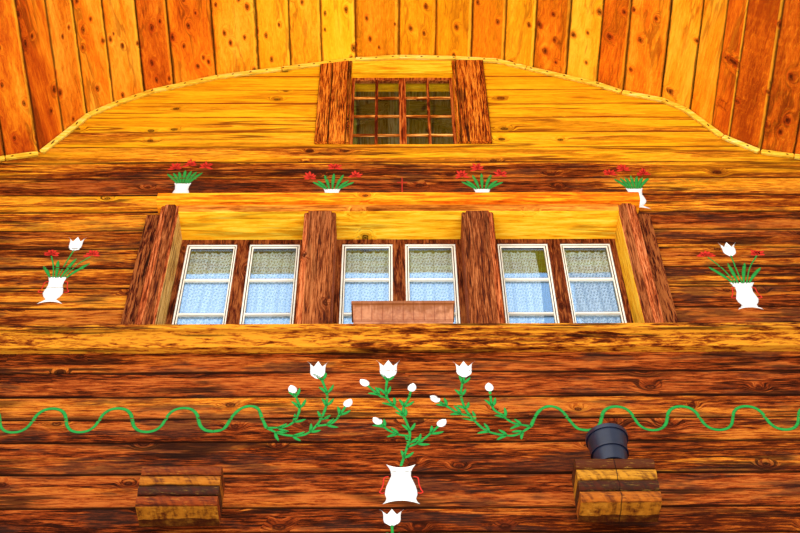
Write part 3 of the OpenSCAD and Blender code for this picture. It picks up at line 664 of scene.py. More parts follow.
@dataclass(frozen=True)
class Moulded:
    """Moulded or fired ware: one colour with fine mottling and a faint gloss."""

    name: str
    base: str
    fleck: str
    roughness: float
    coat: float = 0.0
    metallic: float = 0.0

    def material(self) -> bpy.types.Material:
        """Builds the shader: fine and broad mottling and a fine orange-peel relief."""
        g = Graph(self.name)
        p = g.place()
        mottle = g.noise(p, 25.0, 4.0)
        streak = g.noise(p, 4.0, 3.0)
        colour = g.mix((mottle * 0.5 + streak * 0.5).ease(0.4, 0.7) * 0.6, tint(self.base), tint(self.fleck))
        return g.finish(g.surface(Base_Color=colour, Roughness=self.roughness, Metallic=self.metallic,
                                  Coat_Weight=self.coat, Normal=g.bump(mottle, 0.0006)))


@dataclass(frozen=True)
class Panelled(Moulded):
    """Moulded ware whose front is parted by upright lines over a banded base."""

    pitch: float = 0.066
    base_z: float = 0.0
    base_h: float = 0.045
    drip_tone: str = "9a5228"
    line_tone: str = "7c3a1c"
    dirt_tone: str = "7a4010"

    def material(self) -> bpy.types.Material:
        """Builds the shader: panel lines, a double line over the base, drips, and dirt near the rim."""
        g = Graph(self.name)
        p = g.place()
        x, y, z = g.axes(p)
        mottle = g.noise(p, 30.0, 4.0, 0.65)
        streak = g.stretched(x * 9.0, y * 9.0, z * 3.0, 3.0)
        colour = g.mix((mottle * 0.5 + streak * 0.5).ease(0.38, 0.68), tint(self.base), tint(self.fleck))
        above = z > self.base_z + self.base_h
        panel = abs((x / self.pitch).part() - 0.5).ease(0.45, 0.475) * above
        rows = abs(abs(z - self.base_z - self.base_h) - 0.006).ease(0.0045, 0.002)
        blots = g.stretched(x * 9.0, y * 9.0, z * 16.0, 3.0, 0.6) - 0.5
        drips = g.stretched(x * 70.0, y * 70.0, z * 14.0, 2.0)
        groove_shade_and_rim_dirt = (z + blots * 0.2 + (drips - 0.5) * 0.14).ease(self.base_z + 0.11, self.base_z + 0.19)
        for share, tone in ((drips.ease(0.45, 0.62) * 0.35 * above, self.drip_tone),
                            (panel * 0.75 + rows * 0.75, self.line_tone), (groove_shade_and_rim_dirt * 0.8, self.dirt_tone)):
            colour = g.mix(share, colour, tint(tone))
        return g.finish(g.surface(Base_Color=colour, Roughness=self.roughness,
                                  Normal=g.bump(mottle * 0.3 - panel - rows, 0.0015)))


@dataclass(frozen=True)
class Brushed:
    """A thick coat brushed onto logs, darker along its edges."""

    name: str
    coat: str
    shade: str
    edge: str

    def material(self) -> bpy.types.Material:
        """Builds the shader: brush streaks along the logs, with the mesh's place across for the edges."""
        g = Graph(self.name)
        x, y, z = g.axes(g.place())
        streak = g.stretched(x * 12.0, y * 12.0, z * 90.0, 4.0, 0.7)
        share = g.trait("across")
        colour = g.mix(streak.ease(0.4, 0.68) * 0.7, tint(self.coat), tint(self.shade))
        rim = (share.ease(0.72, 1.0) + share.ease(0.22, 0.0) * 0.6) * 0.8
        colour = g.mix(rim, colour, tint(self.edge))
        return g.finish(g.surface(Base_Color=colour, Roughness=0.6, Specular_IOR_Level=0.2,
                                  Normal=g.bump(streak, 0.0006)))


LOG_H = 0.205
PLINTH_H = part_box("front_wall")[0].z
STOREY = 16 * LOG_H
LEDGE_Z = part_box("front_ledges")[1].z
ROW_BASE = LEDGE_Z - STOREY
OPENING_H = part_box("front_frames")[1].z - LEDGE_Z
ATTIC_SEAM = -0.56
ROW_X = (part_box("front_posts")[0].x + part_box("front_posts")[1].x) / 2
ATTIC_X = 0.022
ARCH_SHAPE = ((-1, 0), (-0.903, 0.367), (-0.833, 0.49), (-0.733, 0.623), (-0.55, 0.774), (-0.36, 0.865),
              (-0.136, 0.971), (0, 1), (0.173, 0.985), (0.301, 0.955), (0.39, 0.87), (0.597, 0.685),
              (0.661, 0.6), (0.775, 0.517), (0.838, 0.404), (0.914, 0.14), (1, 0))
BOARD_JOINTS = (-1, -0.95, -0.902, -0.835, -0.753, -0.672, -0.552, -0.425, -0.33, -0.236, -0.133, 0,
                0.112, 0.221, 0.322, 0.407, 0.503, 0.591, 0.662, 0.768, 0.841, 0.887, 0.925, 1)


@dataclass(frozen=True)
class House:
    """The house's driving sizes, in metres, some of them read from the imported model."""

    front_y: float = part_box("front_wall")[0].y
    half_w: float = -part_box("left_wall")[0].x
    wall_t: float = 0.18
    log_end: float = 0.17
    corbel_round: float = 0.15
    corbel_courses: int = 4
    corbel_near: float = 0.2
    corbel_far: float = 0.9
    slope: float = math.tan(math.radians(22))
    ridge_z: float = 10.7
    side_courses: int = 31
    shift_first: int = 13
    course_shift: tuple = (0.027, -0.007, 0.032, 0.068, 0.045, 0.020, 0.023)
    roof_y0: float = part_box("roof_left")[0].y
    roof_y1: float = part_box("roof_left")[1].y
    roof_x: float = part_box("roof_right")[1].x
    bay: float = 1.1
    light_w: float = 0.88
    win_inset: float = 0.125
    frame_w: float = 0.04
    frame_d: float = 0.07
    mullion_w: float = 0.088
    rail_w: float = 0.028
    rail_d: float = 0.04
    row_half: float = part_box("front_posts")[1].x - ROW_X
    ledge_t: float = 0.045
    lintel_t: float = 0.08
    attic_w: float = (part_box("attic_casements")[1].x - ATTIC_X) * 2
    attic_z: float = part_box("attic_casements")[0].z
    attic_h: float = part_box("attic_casements")[1].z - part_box("attic_casements")[0].z
    attic_inset: float = 0.045
    side_win_w: float = 0.88
    side_pitch: float = 2.5
    purlin_w: float = 0.2
    purlin_d: float = 0.24
    purlin_x: float = 2.8
    purlin_gap: float = 0.002
    spring_z: float = 8.585
    arch_half: float = 2.75
    arch_rise: float = 1.415
    lining_pitch: float = math.tan(math.radians(10.6))
    wing_fall: float = math.tan(math.radians(14))
    wing_boards: int = 7
    spandrel_t: float = 0.04
    curtain_gap: float = 0.016

    def course_z(self, i: int) -> float:
        """Height of the joint under the log of course i."""
        k = i - self.shift_first
        shift = self.course_shift[k] if 0 <= k < len(self.course_shift) else 0.0
        return PLINTH_H + i * LOG_H + shift

    def roof_half(self, z: np.ndarray | float) -> np.ndarray | float:
        """Half the width under the rafters at a height."""
        return (self.ridge_z - z) / self.slope

    @property
    def row_heights(self) -> tuple[float, float]:
        """Heights of the two ledges."""
        return ROW_BASE, LEDGE_Z

    @property
    def sash_w(self) -> float:
        """Width of one casement of the rows."""
        return (self.light_w - 2 * self.frame_w - self.mullion_w) / 2

    @property
    def sash_inset(self) -> float:
        """How far a casement's face lies behind the wall's."""
        return self.win_inset + (self.frame_d - self.rail_d) / 2

    @property
    def curtain_y(self) -> float:
        """Where the front curtains hang."""
        return self.front_y + self.win_inset + (self.frame_d + self.rail_d) / 2 + self.curtain_gap

    @property
    def gable_courses(self) -> int:
        """How many courses reach from the plinth to the ridge."""
        return math.ceil((self.ridge_z - PLINTH_H) / LOG_H)

    def arch_over(self, share: np.ndarray) -> np.ndarray:
        """How far the arch at the wall stands over its springing, at shares of its half span."""
        places, heights = np.array(ARCH_SHAPE, float).T
        return np.interp(share, places, heights) * self.arch_rise


HOUSE = House()


def ripple(along: np.ndarray, seed: np.ndarray | float) -> np.ndarray:
    """A smooth random line between about -1 and 1: the mean of four sines with seeded phases.

    Args:
        along: places along the line, in metres.
        seed: picks the phases, one for all places or one for each.

    Returns:
        One value for each place.
    """
    rates = np.array([0.9, 2.3, 4.9, 8.7])
    weights = np.array([1.0, 0.7, 0.45, 0.3])
    scatter = np.array([12.9, 78.2, 37.7, 93.9])
    phases = np.sin(np.asarray(seed)[..., None] * scatter) * 43.7
    waves = np.sin(along[..., None] * rates + phases) * weights
    return waves.sum(-1) / weights.sum()


class Skin:
    """Points and faces of one mesh. Each point has a seed, an age and a place across its board."""

    def __init__(self) -> None:
        """Starts empty."""
        self.points: list[np.ndarray] = []
        self.quads: list[np.ndarray] = []
        self.rings: list[list[int]] = []
        self.seeds: list[np.ndarray] = []
        self.across: list[np.ndarray] = []
        self.ages: list[np.ndarray] = []
        self.age: np.ndarray | float = 0.0
        self.count = 0

    def grid(self, points: np.ndarray, seed: float = 0.0, across: np.ndarray | None = None,
             wrap: bool = False, caps: bool = False) -> None:
        """Adds a surface given as rows of points.

        Args:
            points: array of rows, columns and three coordinates.
            seed: the board's own number.
            across: share across the board for each point, in the shape of the grid, or None for the middle.
            wrap: whether the last column joins the first.
            caps: whether the first and last rows are closed by a face.
        """
        rows, cols = points.shape[:2]
        index = np.arange(rows * cols).reshape(rows, cols) + self.count
        around = np.concatenate([index, index[:, :1]], axis=1) if wrap else index
        corners = [around[:-1, :-1], around[:-1, 1:], around[1:, 1:], around[1:, :-1]]
        self.quads.append(np.stack(corners, -1).reshape(-1, 4))
        if caps:
            self.rings += [index[0, ::-1].tolist(), index[-1].tolist()]
        self.points.append(points.reshape(-1, 3))
        self.seeds.append(np.full(rows * cols, seed))
        share = np.broadcast_to(0.5 if across is None else across, (rows, cols)).reshape(-1)
        self.across.append(share)
        self.ages.append(np.broadcast_to(self.age, (rows, cols)).reshape(-1))
        self.count += rows * cols

    def sweep(self, profile: np.ndarray, path: np.ndarray, side: np.ndarray, up: np.ndarray,
              seed: float = 0.0, scale: np.ndarray | float = 1.0, across: np.ndarray | None = None) -> None:
        """Carries a closed profile along a path and closes its ends.

        Each point is its station plus the profile's first number times side and its second times up.

        Args:
            profile: corners, two numbers each.
            path: stations, three coordinates each.
            side: direction of the profile's first number, one or one for each station.
            up: direction of the profile's second number, likewise.
            seed: the board's own number.
            scale: size of the profile, one or one for each station.
            across: share across the board for each corner.
        """
        side = np.broadcast_to(side, path.shape)
        up = np.broadcast_to(up, path.shape)
        size = np.broadcast_to(scale, path.shape[:1])[:, None, None]
        flat = profile[None, :, :1] * side[:, None, :] + profile[None, :, 1:] * up[:, None, :]
        share = None if across is None else across[None, :]
        self.grid(path[:, None, :] + flat * size, seed, share, wrap=True, caps=True)

    def bar(self, start: tuple, end: tuple, width: float, depth: float, side: tuple, up: tuple,
            seed: float = 0.0, edge: float = 0.004) -> None:
        """Adds a straight bar: a rectangle with cut corners, drawn in a little at both ends.

        Args:
            start: middle of its first end.
            end: middle of its other end.
            width: its size along side.
            depth: its size along up.
            side: first direction across it.
            up: second direction across it.
            seed: its own number.
            edge: size of the cut corners.
        """
        a, b = np.array(start, float), np.array(end, float)
        run = np.linalg.norm(b - a)
        w, d, e = width / 2, depth / 2, min(edge, width / 4, depth / 4)
        profile = np.array([(-w + e, -d), (w - e, -d), (w, -d + e), (w, d - e), (w - e, d), (-w + e, d),
                            (-w, d - e), (-w, -d + e)])
        shares = np.array([0.0, e / run, 1.0 - e / run, 1.0])
        inner = 1.0 - e / min(w, d)
        self.sweep(profile, a + (b - a) * shares[:, None], np.array(side, float), np.array(up, float), seed,
                   np.array([inner, 1.0, 1.0, inner]), profile[:, 1] / depth + 0.5)

    def piece(self, name: str, material: bpy.types.Material, slot: str | None = None, closed: bool = True,
              smooth: bool = False) -> bpy.types.Object:
        """Makes the object, dressed and riding on the house.

        Args:
            name: the object's name.
            material: its finish.
            slot: not used.
            closed: whether its faces are to be turned outwards.
            smooth: whether it is shaded smooth.

        Returns:
            The object.
        """
        mesh = bpy.data.meshes.new(name)
        faces = np.concatenate(self.quads).tolist() + self.rings
        mesh.from_pydata(np.concatenate(self.points).tolist(), [], faces)
        for trait, values in (("seed", self.seeds), ("across", self.across), ("age", self.ages)):
            mesh.attributes.new(trait, "FLOAT", "POINT").data.foreach_set(
                "value", np.concatenate(values).astype(np.float32))
        if closed:
            turn_outwards(mesh)
        mesh.shade_smooth() if smooth else mesh.shade_flat()
        mesh.materials.append(material)
        made = bpy.data.objects.new(name, mesh)
        bpy.context.scene.collection.objects.link(made)
        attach(made, ROOT)
        log.info("%s: %d faces", name, len(mesh.polygons))
        return made


def turn_outwards(mesh: bpy.types.Mesh) -> None:
    """Turns every closed shell of a mesh so that its faces point outwards."""
    work = bmesh.new()
    work.from_mesh(mesh)
    bmesh.ops.recalc_face_normals(work, faces=work.faces)
    work.to_mesh(mesh)
    work.free()


class Facing(Enum):
    """The side of the house that a wall closes: its direction along the wall and its direction inwards."""

    FRONT = ((1, 0, 0), (0, 1, 0))
    BACK = ((-1, 0, 0), (0, -1, 0))
    LEFT = ((0, -1, 0), (1, 0, 0))
    RIGHT = ((0, 1, 0), (-1, 0, 0))


@dataclass
class LogWall:
    """One wall of squared logs with wandering joints, cut round its openings."""

    name: str
    facing: Facing
    finish: Wood
    replaces: str
    slot: str
    openings: list[tuple[float, float, float, float]]
    step: float = 0.22
    bevel: float = 0.009
    wander: float = 0.007
    sunk: float = 0.0022
    waver: float = 0.0018
    least_rise: float = 0.004
    least_run: float = 0.01
    ridge_gap: float = 0.02
    age: float = 0.7
    ages: dict[int, tuple[float, float]] = field(default_factory=dict)
    age_reach: float = 2.4
    house: House = HOUSE

    @property
    def gable(self) -> bool:
        """Whether the wall runs up to the ridge."""
        return self.facing in (Facing.FRONT, Facing.BACK)

    @property
    def outer(self) -> float:
        """Distance of the wall's outer face from the middle of the house."""
        return -self.house.front_y if self.gable else self.house.half_w

    @property
    def inner_half(self) -> float:
        """Half the length of the wall between the crossing walls' inner faces."""
        return (self.house.half_w if self.gable else -self.house.front_y) - self.house.wall_t

    @property
    def corner_half(self) -> float:
        """Half the length of the wall over its logs' ends."""
        return (self.house.half_w if self.gable else -self.house.front_y) + self.house.log_end

    def build(self) -> bpy.types.Object:
        """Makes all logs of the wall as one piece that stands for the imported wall."""
        skin = Skin()
        courses = self.house.gable_courses if self.gable else self.house.side_courses
        corbel_first = self.house.side_courses - self.house.corbel_courses
        for i in range(courses):
            crossing = i % 2 == (0 if self.gable else 1) and i < corbel_first
            self._log(skin, i, self.corner_half if crossing else self.inner_half)
            if not self.gable and i >= corbel_first:
                self._corbels(skin, i, (i - corbel_first) / (self.house.corbel_courses - 1))
        made = skin.piece(self.name, self.finish.material(), self.slot)
        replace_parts(made, self.replaces)
        return made

    def _log(self, skin: Skin, i: int, half: float) -> None:
        """Adds one course, in as many lengths as its openings leave."""
        z0, z1 = self.house.course_z(i), self.house.course_z(i + 1)
        if self.gable:
            z1 = min(z1, self.house.ridge_z - self.ridge_gap)
        lowest, highest = z0 + self.least_rise, z1 - self.least_rise
        cuts = sorted({z0, z1} | {z for o in self.openings for z in o[2:] if lowest < z < highest})
        for low, high in zip(cuts[:-1], cuts[1:]):
            spans = [(-half, half)]
            for x0, x1, o0, o1 in self.openings:
                if o0 < (low + high) / 2 < o1:
                    spans = [part for a, b in spans for part in ((a, min(b, x0)), (max(a, x1), b))
                             if part[1] - part[0] > self.least_run]
            for a, b in spans:
                self._length(skin, i, a, b, low, high, (z0, z1))

    def _length(self, skin: Skin, i: int, a: float, b: float, low: float, high: float,
                joint: tuple[float, float]) -> None:
        """Adds one length of a log, whose joints wander by a slow ripple and whose ends follow the roof.

        Args:
            skin: where it goes.
            i: its course.
            a: its start along the wall.
            b: its end.
            low: height of its foot, at the course's joint or at an opening.
            high: height of its head, likewise.
            joint: heights of the course's two joints.
        """
        e, t = self.bevel, self.house.wall_t
        foot, head = low == joint[0], high == joint[1]
        levels = np.linspace(low + (e if foot else 0.0), high - (e if head else 0.0), 4)
        z = np.concatenate([[low] if foot else [], levels, [high] if head else [], [high, low]])
        d = np.concatenate([[e] if foot else [], 0.0 * levels, [e] if head else [], [t, t]])
        limit = self.house.roof_half(z) if self.gable else np.full(len(z), FAR)
        start, end = np.clip(a, -limit, limit), np.clip(b, -limit, limit)
        if (end - start).max() < self.least_run:
            return
        rows = max(2, int((b - a) / self.step) + 1)
        share = np.linspace(0.0, 1.0, rows)[:, None]
        u = start[None, :] + (end - start)[None, :] * share
        seed = self._seed(i)
        lower = ripple(u, seed) * self.wander * (1.0 if foot else 0.0)
        upper = ripple(u, self._seed(i + 1)) * self.wander * (1.0 if head else 0.0)
        rise = np.clip((z - low) / max(high - low, 1e-6), 0, 1)[None, :]
        height = z[None, :] + lower * (1 - rise) + upper * rise
        front = (d < t - 1e-6)[None, :]
        skin.age = np.interp(u, (-self.age_reach, self.age_reach), self.ages.get(i, (self.age, self.age)))
        inward = d[None, :] + self._set_back(u, seed) * front
        across = (z - joint[0]) / (joint[1] - joint[0])
        skin.grid(self._world(u, inward, height), seed, np.broadcast_to(across, u.shape), True, True)

    def _set_back(self, u: np.ndarray, seed: np.ndarray | float) -> np.ndarray:
        """How far a log's face lies behind the wall's plane, by a slow ripple of its own."""
        return self.sunk + self.waver * ripple(u * 0.6, seed + 5.0)

    def face(self, u: np.ndarray, z: np.ndarray) -> np.ndarray:
        """How far the logs' faces lie behind the wall's plane.

        Each place belongs to the log between the two nearest joints. Near a joint the eased edge falls back
        by what is left of the bevel, and elsewhere the face wanders by its own slow ripple.

        Args:
            u: places along the wall.
            z: heights, in the same shape.

        Returns:
            Distances inwards, in metres.
        """
        count = self.house.gable_courses
        joints = np.array([self.house.course_z(i) for i in range(count + 1)])
        seeds = np.array([self._seed(i) for i in range(count + 1)])
        i = np.clip(np.searchsorted(joints, z, side="right") - 1, 0, count - 1)
        below = np.abs(z - joints[i] - ripple(u, seeds[i]) * self.wander)
        above = np.abs(joints[i + 1] + ripple(u, seeds[i + 1]) * self.wander - z)
        ease = np.clip(self.bevel - np.minimum(below, above), 0.0, None)
        return ease + self._set_back(u, seeds[i])

    def _corbels(self, skin: Skin, i: int, rank: float) -> None:
        """Adds the stepped log ends of one course, rounded under their heads."""
        share = self.house.corbel_near + (self.house.corbel_far - self.house.corbel_near) * rank
        z0, z1 = self.house.course_z(i), self.house.course_z(i + 1)
        r = self.house.corbel_round
        turn = np.linspace(0.0, math.pi / 2, 9)
        skin.age = self.age
        for face, roof_end in ((-1, self.house.roof_y0), (1, self.house.roof_y1)):
            reach = -self.house.front_y + (abs(roof_end) + self.house.front_y) * share
            y = np.concatenate([[self.inner_half], reach - r + r * np.sin(turn), [reach, self.inner_half]])
            z = np.concatenate([[z0], z0 + r - r * np.cos(turn), [z1, z1]])
            profile = np.stack([face * y, z], -1)
            x0 = -self.house.half_w if self.facing is Facing.LEFT else self.house.half_w - self.house.wall_t
            path = np.array([[x0, 0, 0], [x0 + self.house.wall_t, 0, 0]])
            skin.sweep(profile, path, DEEP, UP, self._seed(i) + face, across=(z - z0) / (z1 - z0))

    def _seed(self, i: int) -> float:
        """The number of a course on this wall."""
        return 0.731 * i + 7.3 * list(Facing).index(self.facing) + 1.0

    def _world(self, u: np.ndarray, inward: np.ndarray, z: np.ndarray) -> np.ndarray:
        """Turns places along, into and up the wall into points."""
        along, into = (np.array(v, float) for v in self.facing.value)
        return u[..., None] * along + (inward - self.outer)[..., None] * into + z[..., None] * UP


@dataclass
class Lining:
    """The arched lining under the front roof: flat boards that rise from the wall to the verge."""

    finish: Wood
    strip_finish: Wood
    joint: float = 0.0035
    thick: float = 0.028
    edge: float = 0.004
    strip_h: float = 0.05
    strip_t: float = 0.022
    strip_drop: float = 0.004
    strip_gap: float = 0.002
    cups: tuple[float, float] = (-0.002, 0.003)
    tips: tuple[float, float] = (-0.004, 0.004)
    lifts: tuple[float, float] = (0.0, 0.004)
    age_shifts: tuple[float, float] = (-0.12, 0.14)
    wander: float = 0.002
    house: House = HOUSE

    def line(self, shares: tuple) -> np.ndarray:
        """The arch's points at the wall for shares of the half span, with the boards of both wings added."""
        h = self.house
        u = np.array(shares, float)
        middle = np.stack([u * h.arch_half, h.arch_over(u)], -1)
        reach = (h.half_w - h.wall_t - h.arch_half) * np.arange(1, h.wing_boards + 1) / h.wing_boards
        wing = np.stack([h.arch_half + reach, -reach * h.wing_fall], -1)
        left = (wing * [-1, 1])[::-1]
        return np.concatenate([left, middle, wing]) + [0.0, h.spring_z]

    def build(self) -> bpy.types.Object:
        """Makes the boards.

        Each is a rectangle with eased edges, slightly cupped, tipped and set a little up. The boards' ages
        rise from the arch's middle to both sides, and more to the left.
        """
        h = self.house
        skin = Skin()
        rng = np.random.default_rng(41)
        line = self.line(BOARD_JOINTS)
        places = (line[:-1, 0] + line[1:, 0]) / 2 / h.arch_half
        ages = (0.6 * np.abs(places) ** 1.1 + 0.42 * np.clip(-places, 0.0, 1.0)
                + 0.15 * np.sin(np.pi * np.clip(places, 0.0, 1.0)))
        run = h.front_y - (h.roof_y0 + h.spandrel_t)
        stations = np.linspace(0.0, 1.0, 15)
        e, t = self.edge, self.thick
        for k, (a, b) in enumerate(zip(line[:-1], line[1:])):
            skin.age = float(ages[k] + rng.uniform(*self.age_shifts))
            width = float(np.hypot(*(b - a)))
            w = np.array([(b - a)[0], 0.0, (b - a)[1]]) / width
            n = np.array([-w[2], 0.0, w[0]])
            half = width / 2 - self.joint / 2
            cup, tip, lift = (rng.uniform(*span) for span in (self.cups, self.tips, self.lifts))
            s = np.array([-half, -half + e, -half / 2, 0.0, half / 2, half - e, half, half, -half])
            v = np.array([e, 0.0, 0.0, 0.0, 0.0, 0.0, e, t, t]) + lift
            v[:7] += cup * (1 - (s[:7] / half) ** 2) + tip * s[:7] / half / 2
            profile = np.stack([s, v], -1)
            middle = (a + b) / 2
            path = np.stack([middle[0] + self.wander * ripple(stations * run, k + 3.1),
                             h.front_y - stations * run,
                             middle[1] + stations * run * h.lining_pitch], -1)
            skin.sweep(profile, path, w, n, 1.37 * k + 0.5, across=np.clip(s / width + 0.5, 0, 1))
        made = skin.piece("lining_boards", self.finish.material(), "lining")
        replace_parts(made, "arch_lining")
        return made

    def strip(self) -> bpy.types.Object:
        """Makes the strip over the joint between lining and wall: a straight length on each of its sides."""
        h = self.house
        skin = Skin()
        line = self.line(tuple(p[0] for p in ARCH_SHAPE))
        y = h.front_y - self.strip_t / 2
        for k, (a, b) in enumerate(zip(line[:-1], line[1:])):
            w = (b - a) / np.hypot(*(b - a))
            n = np.array([-w[1], w[0]])
            drop = n * (self.strip_h / 2 + self.strip_drop)
            start, end = a + w * self.strip_gap - drop, b - w * self.strip_gap - drop
            skin.bar((start[0], y, start[1]), (end[0], y, end[1]), self.strip_t, self.strip_h, DEEP,
                     (n[0], 0, n[1]), 0.9 * k)
        made = skin.piece("arch_cover_strip", self.strip_finish.material(), "strip")
        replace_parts(made, "arch_strip")
        return made


def smooth_line(points: list, step: float) -> np.ndarray:
    """A smooth line through points: cubic pieces, whose slope at a point is that between its neighbours.

    Args:
        points: pairs of numbers.
        step: wanted distance between samples.

    Returns:
        The samples, two numbers each.
    """
    p = np.array(points, float)
    p = np.concatenate([2 * p[:1] - p[1:2], p, 2 * p[-1:] - p[-2:-1]])
    a, b, c, d = (q[:, None, :] for q in (p[:-3], p[1:-2], p[2:-1], p[3:]))
    count = max(3, int(np.linalg.norm(p[2:-1] - p[1:-2], axis=1).max() / step) + 1)
    t = np.linspace(0.0, 1.0, count, endpoint=False)[None, :, None]
    curve = (b + (c - a) * t / 2 + (a - 2.5 * b + 2 * c - d / 2) * t ** 2
             + (1.5 * (b - c) + (d - a) / 2) * t ** 3)
    return np.concatenate([curve.reshape(-1, 2), p[-2:-1]])


@dataclass(frozen=True)
class Plant:
    """A painted plant, in metres from the middle of its vase's rim.

    A blade or bloom has its foot across, tip across and rise, and the tulip its place across and rise.
    """

    blades: tuple[tuple[float, float, float], ...]
    blooms: tuple[tuple[float, float, float], ...]
    tulip: tuple[float, float]


LEFT_PLANT = Plant(
    ((-0.05, -0.12, 0.112), (-0.012, -0.032, 0.172), (0.02, 0.088, 0.193), (0.055, 0.188, 0.142)),
    ((-0.03, -0.093, 0.24), (0.035, 0.188, 0.232)), (0.053, 0.277))
RIGHT_PLANT = Plant(
    ((-0.055, -0.194, 0.167), (-0.025, -0.052, 0.2), (0.01, 0.065, 0.204), (0.045, 0.163, 0.155)),
    ((-0.04, -0.184, 0.285), (0.03, 0.172, 0.3)), (-0.014, 0.275))
# A fan or spread of blades over a vase: each tip's place across and its rise.
FAN = ((-0.13, 0.115), (-0.085, 0.125), (-0.045, 0.14), (0.0, 0.16), (0.045, 0.15), (0.085, 0.14),
       (0.13, 0.13))
SPREAD = ((-0.145, 0.085), (-0.11, 0.1), (-0.06, 0.17), (0.008, 0.19), (0.079, 0.175), (0.12, 0.1),
          (0.16, 0.08))
# A vase's outline: shares of its height, and its width at each as a share of the feet's.
FULL_VASE = ((0, 0.07, 0.14, 0.24, 0.34, 0.45, 0.58, 0.7, 0.8, 0.89, 1),
             (1, 0.84, 0.79, 0.87, 0.85, 0.78, 0.65, 0.53, 0.55, 0.63, 0.81))
HORNED_VASE = ((0, 0.08, 0.17, 0.28, 0.4, 0.55, 0.66, 0.8, 0.9, 1),
               (1, 0.8, 0.56, 0.78, 0.87, 0.74, 0.64, 0.66, 0.78, 0.98))
SLIM_VASE = ((0, 0.08, 0.17, 0.26, 0.385, 0.54, 0.69, 0.85, 1),
             (1, 0.76, 0.4, 0.63, 0.78, 0.71, 0.57, 0.61, 0.74))


class Outline(Enum):
    """The ways in which a painted stroke's width changes along it."""

    EVEN = "nearly even"
    BLADE = "narrow at the foot"
    LEAF = "round at both ends"
    BUD = "egg"

    def widths(self, run: np.ndarray) -> np.ndarray:
        """Shares of the greatest width at shares of the run: a sine, straight pieces, or a sine's bulge."""
        if self is Outline.EVEN:
            return 0.92 + 0.08 * np.sin(run * 40.0)
        if self is Outline.BLADE:
            return np.interp(run, (0, 0.5, 0.85, 1), (0.4, 1, 0.85, 0.2))
        bend, power = (0.9, 0.55) if self is Outline.LEAF else (0.8, 0.6)
        return np.sin(math.pi * run ** bend) ** power


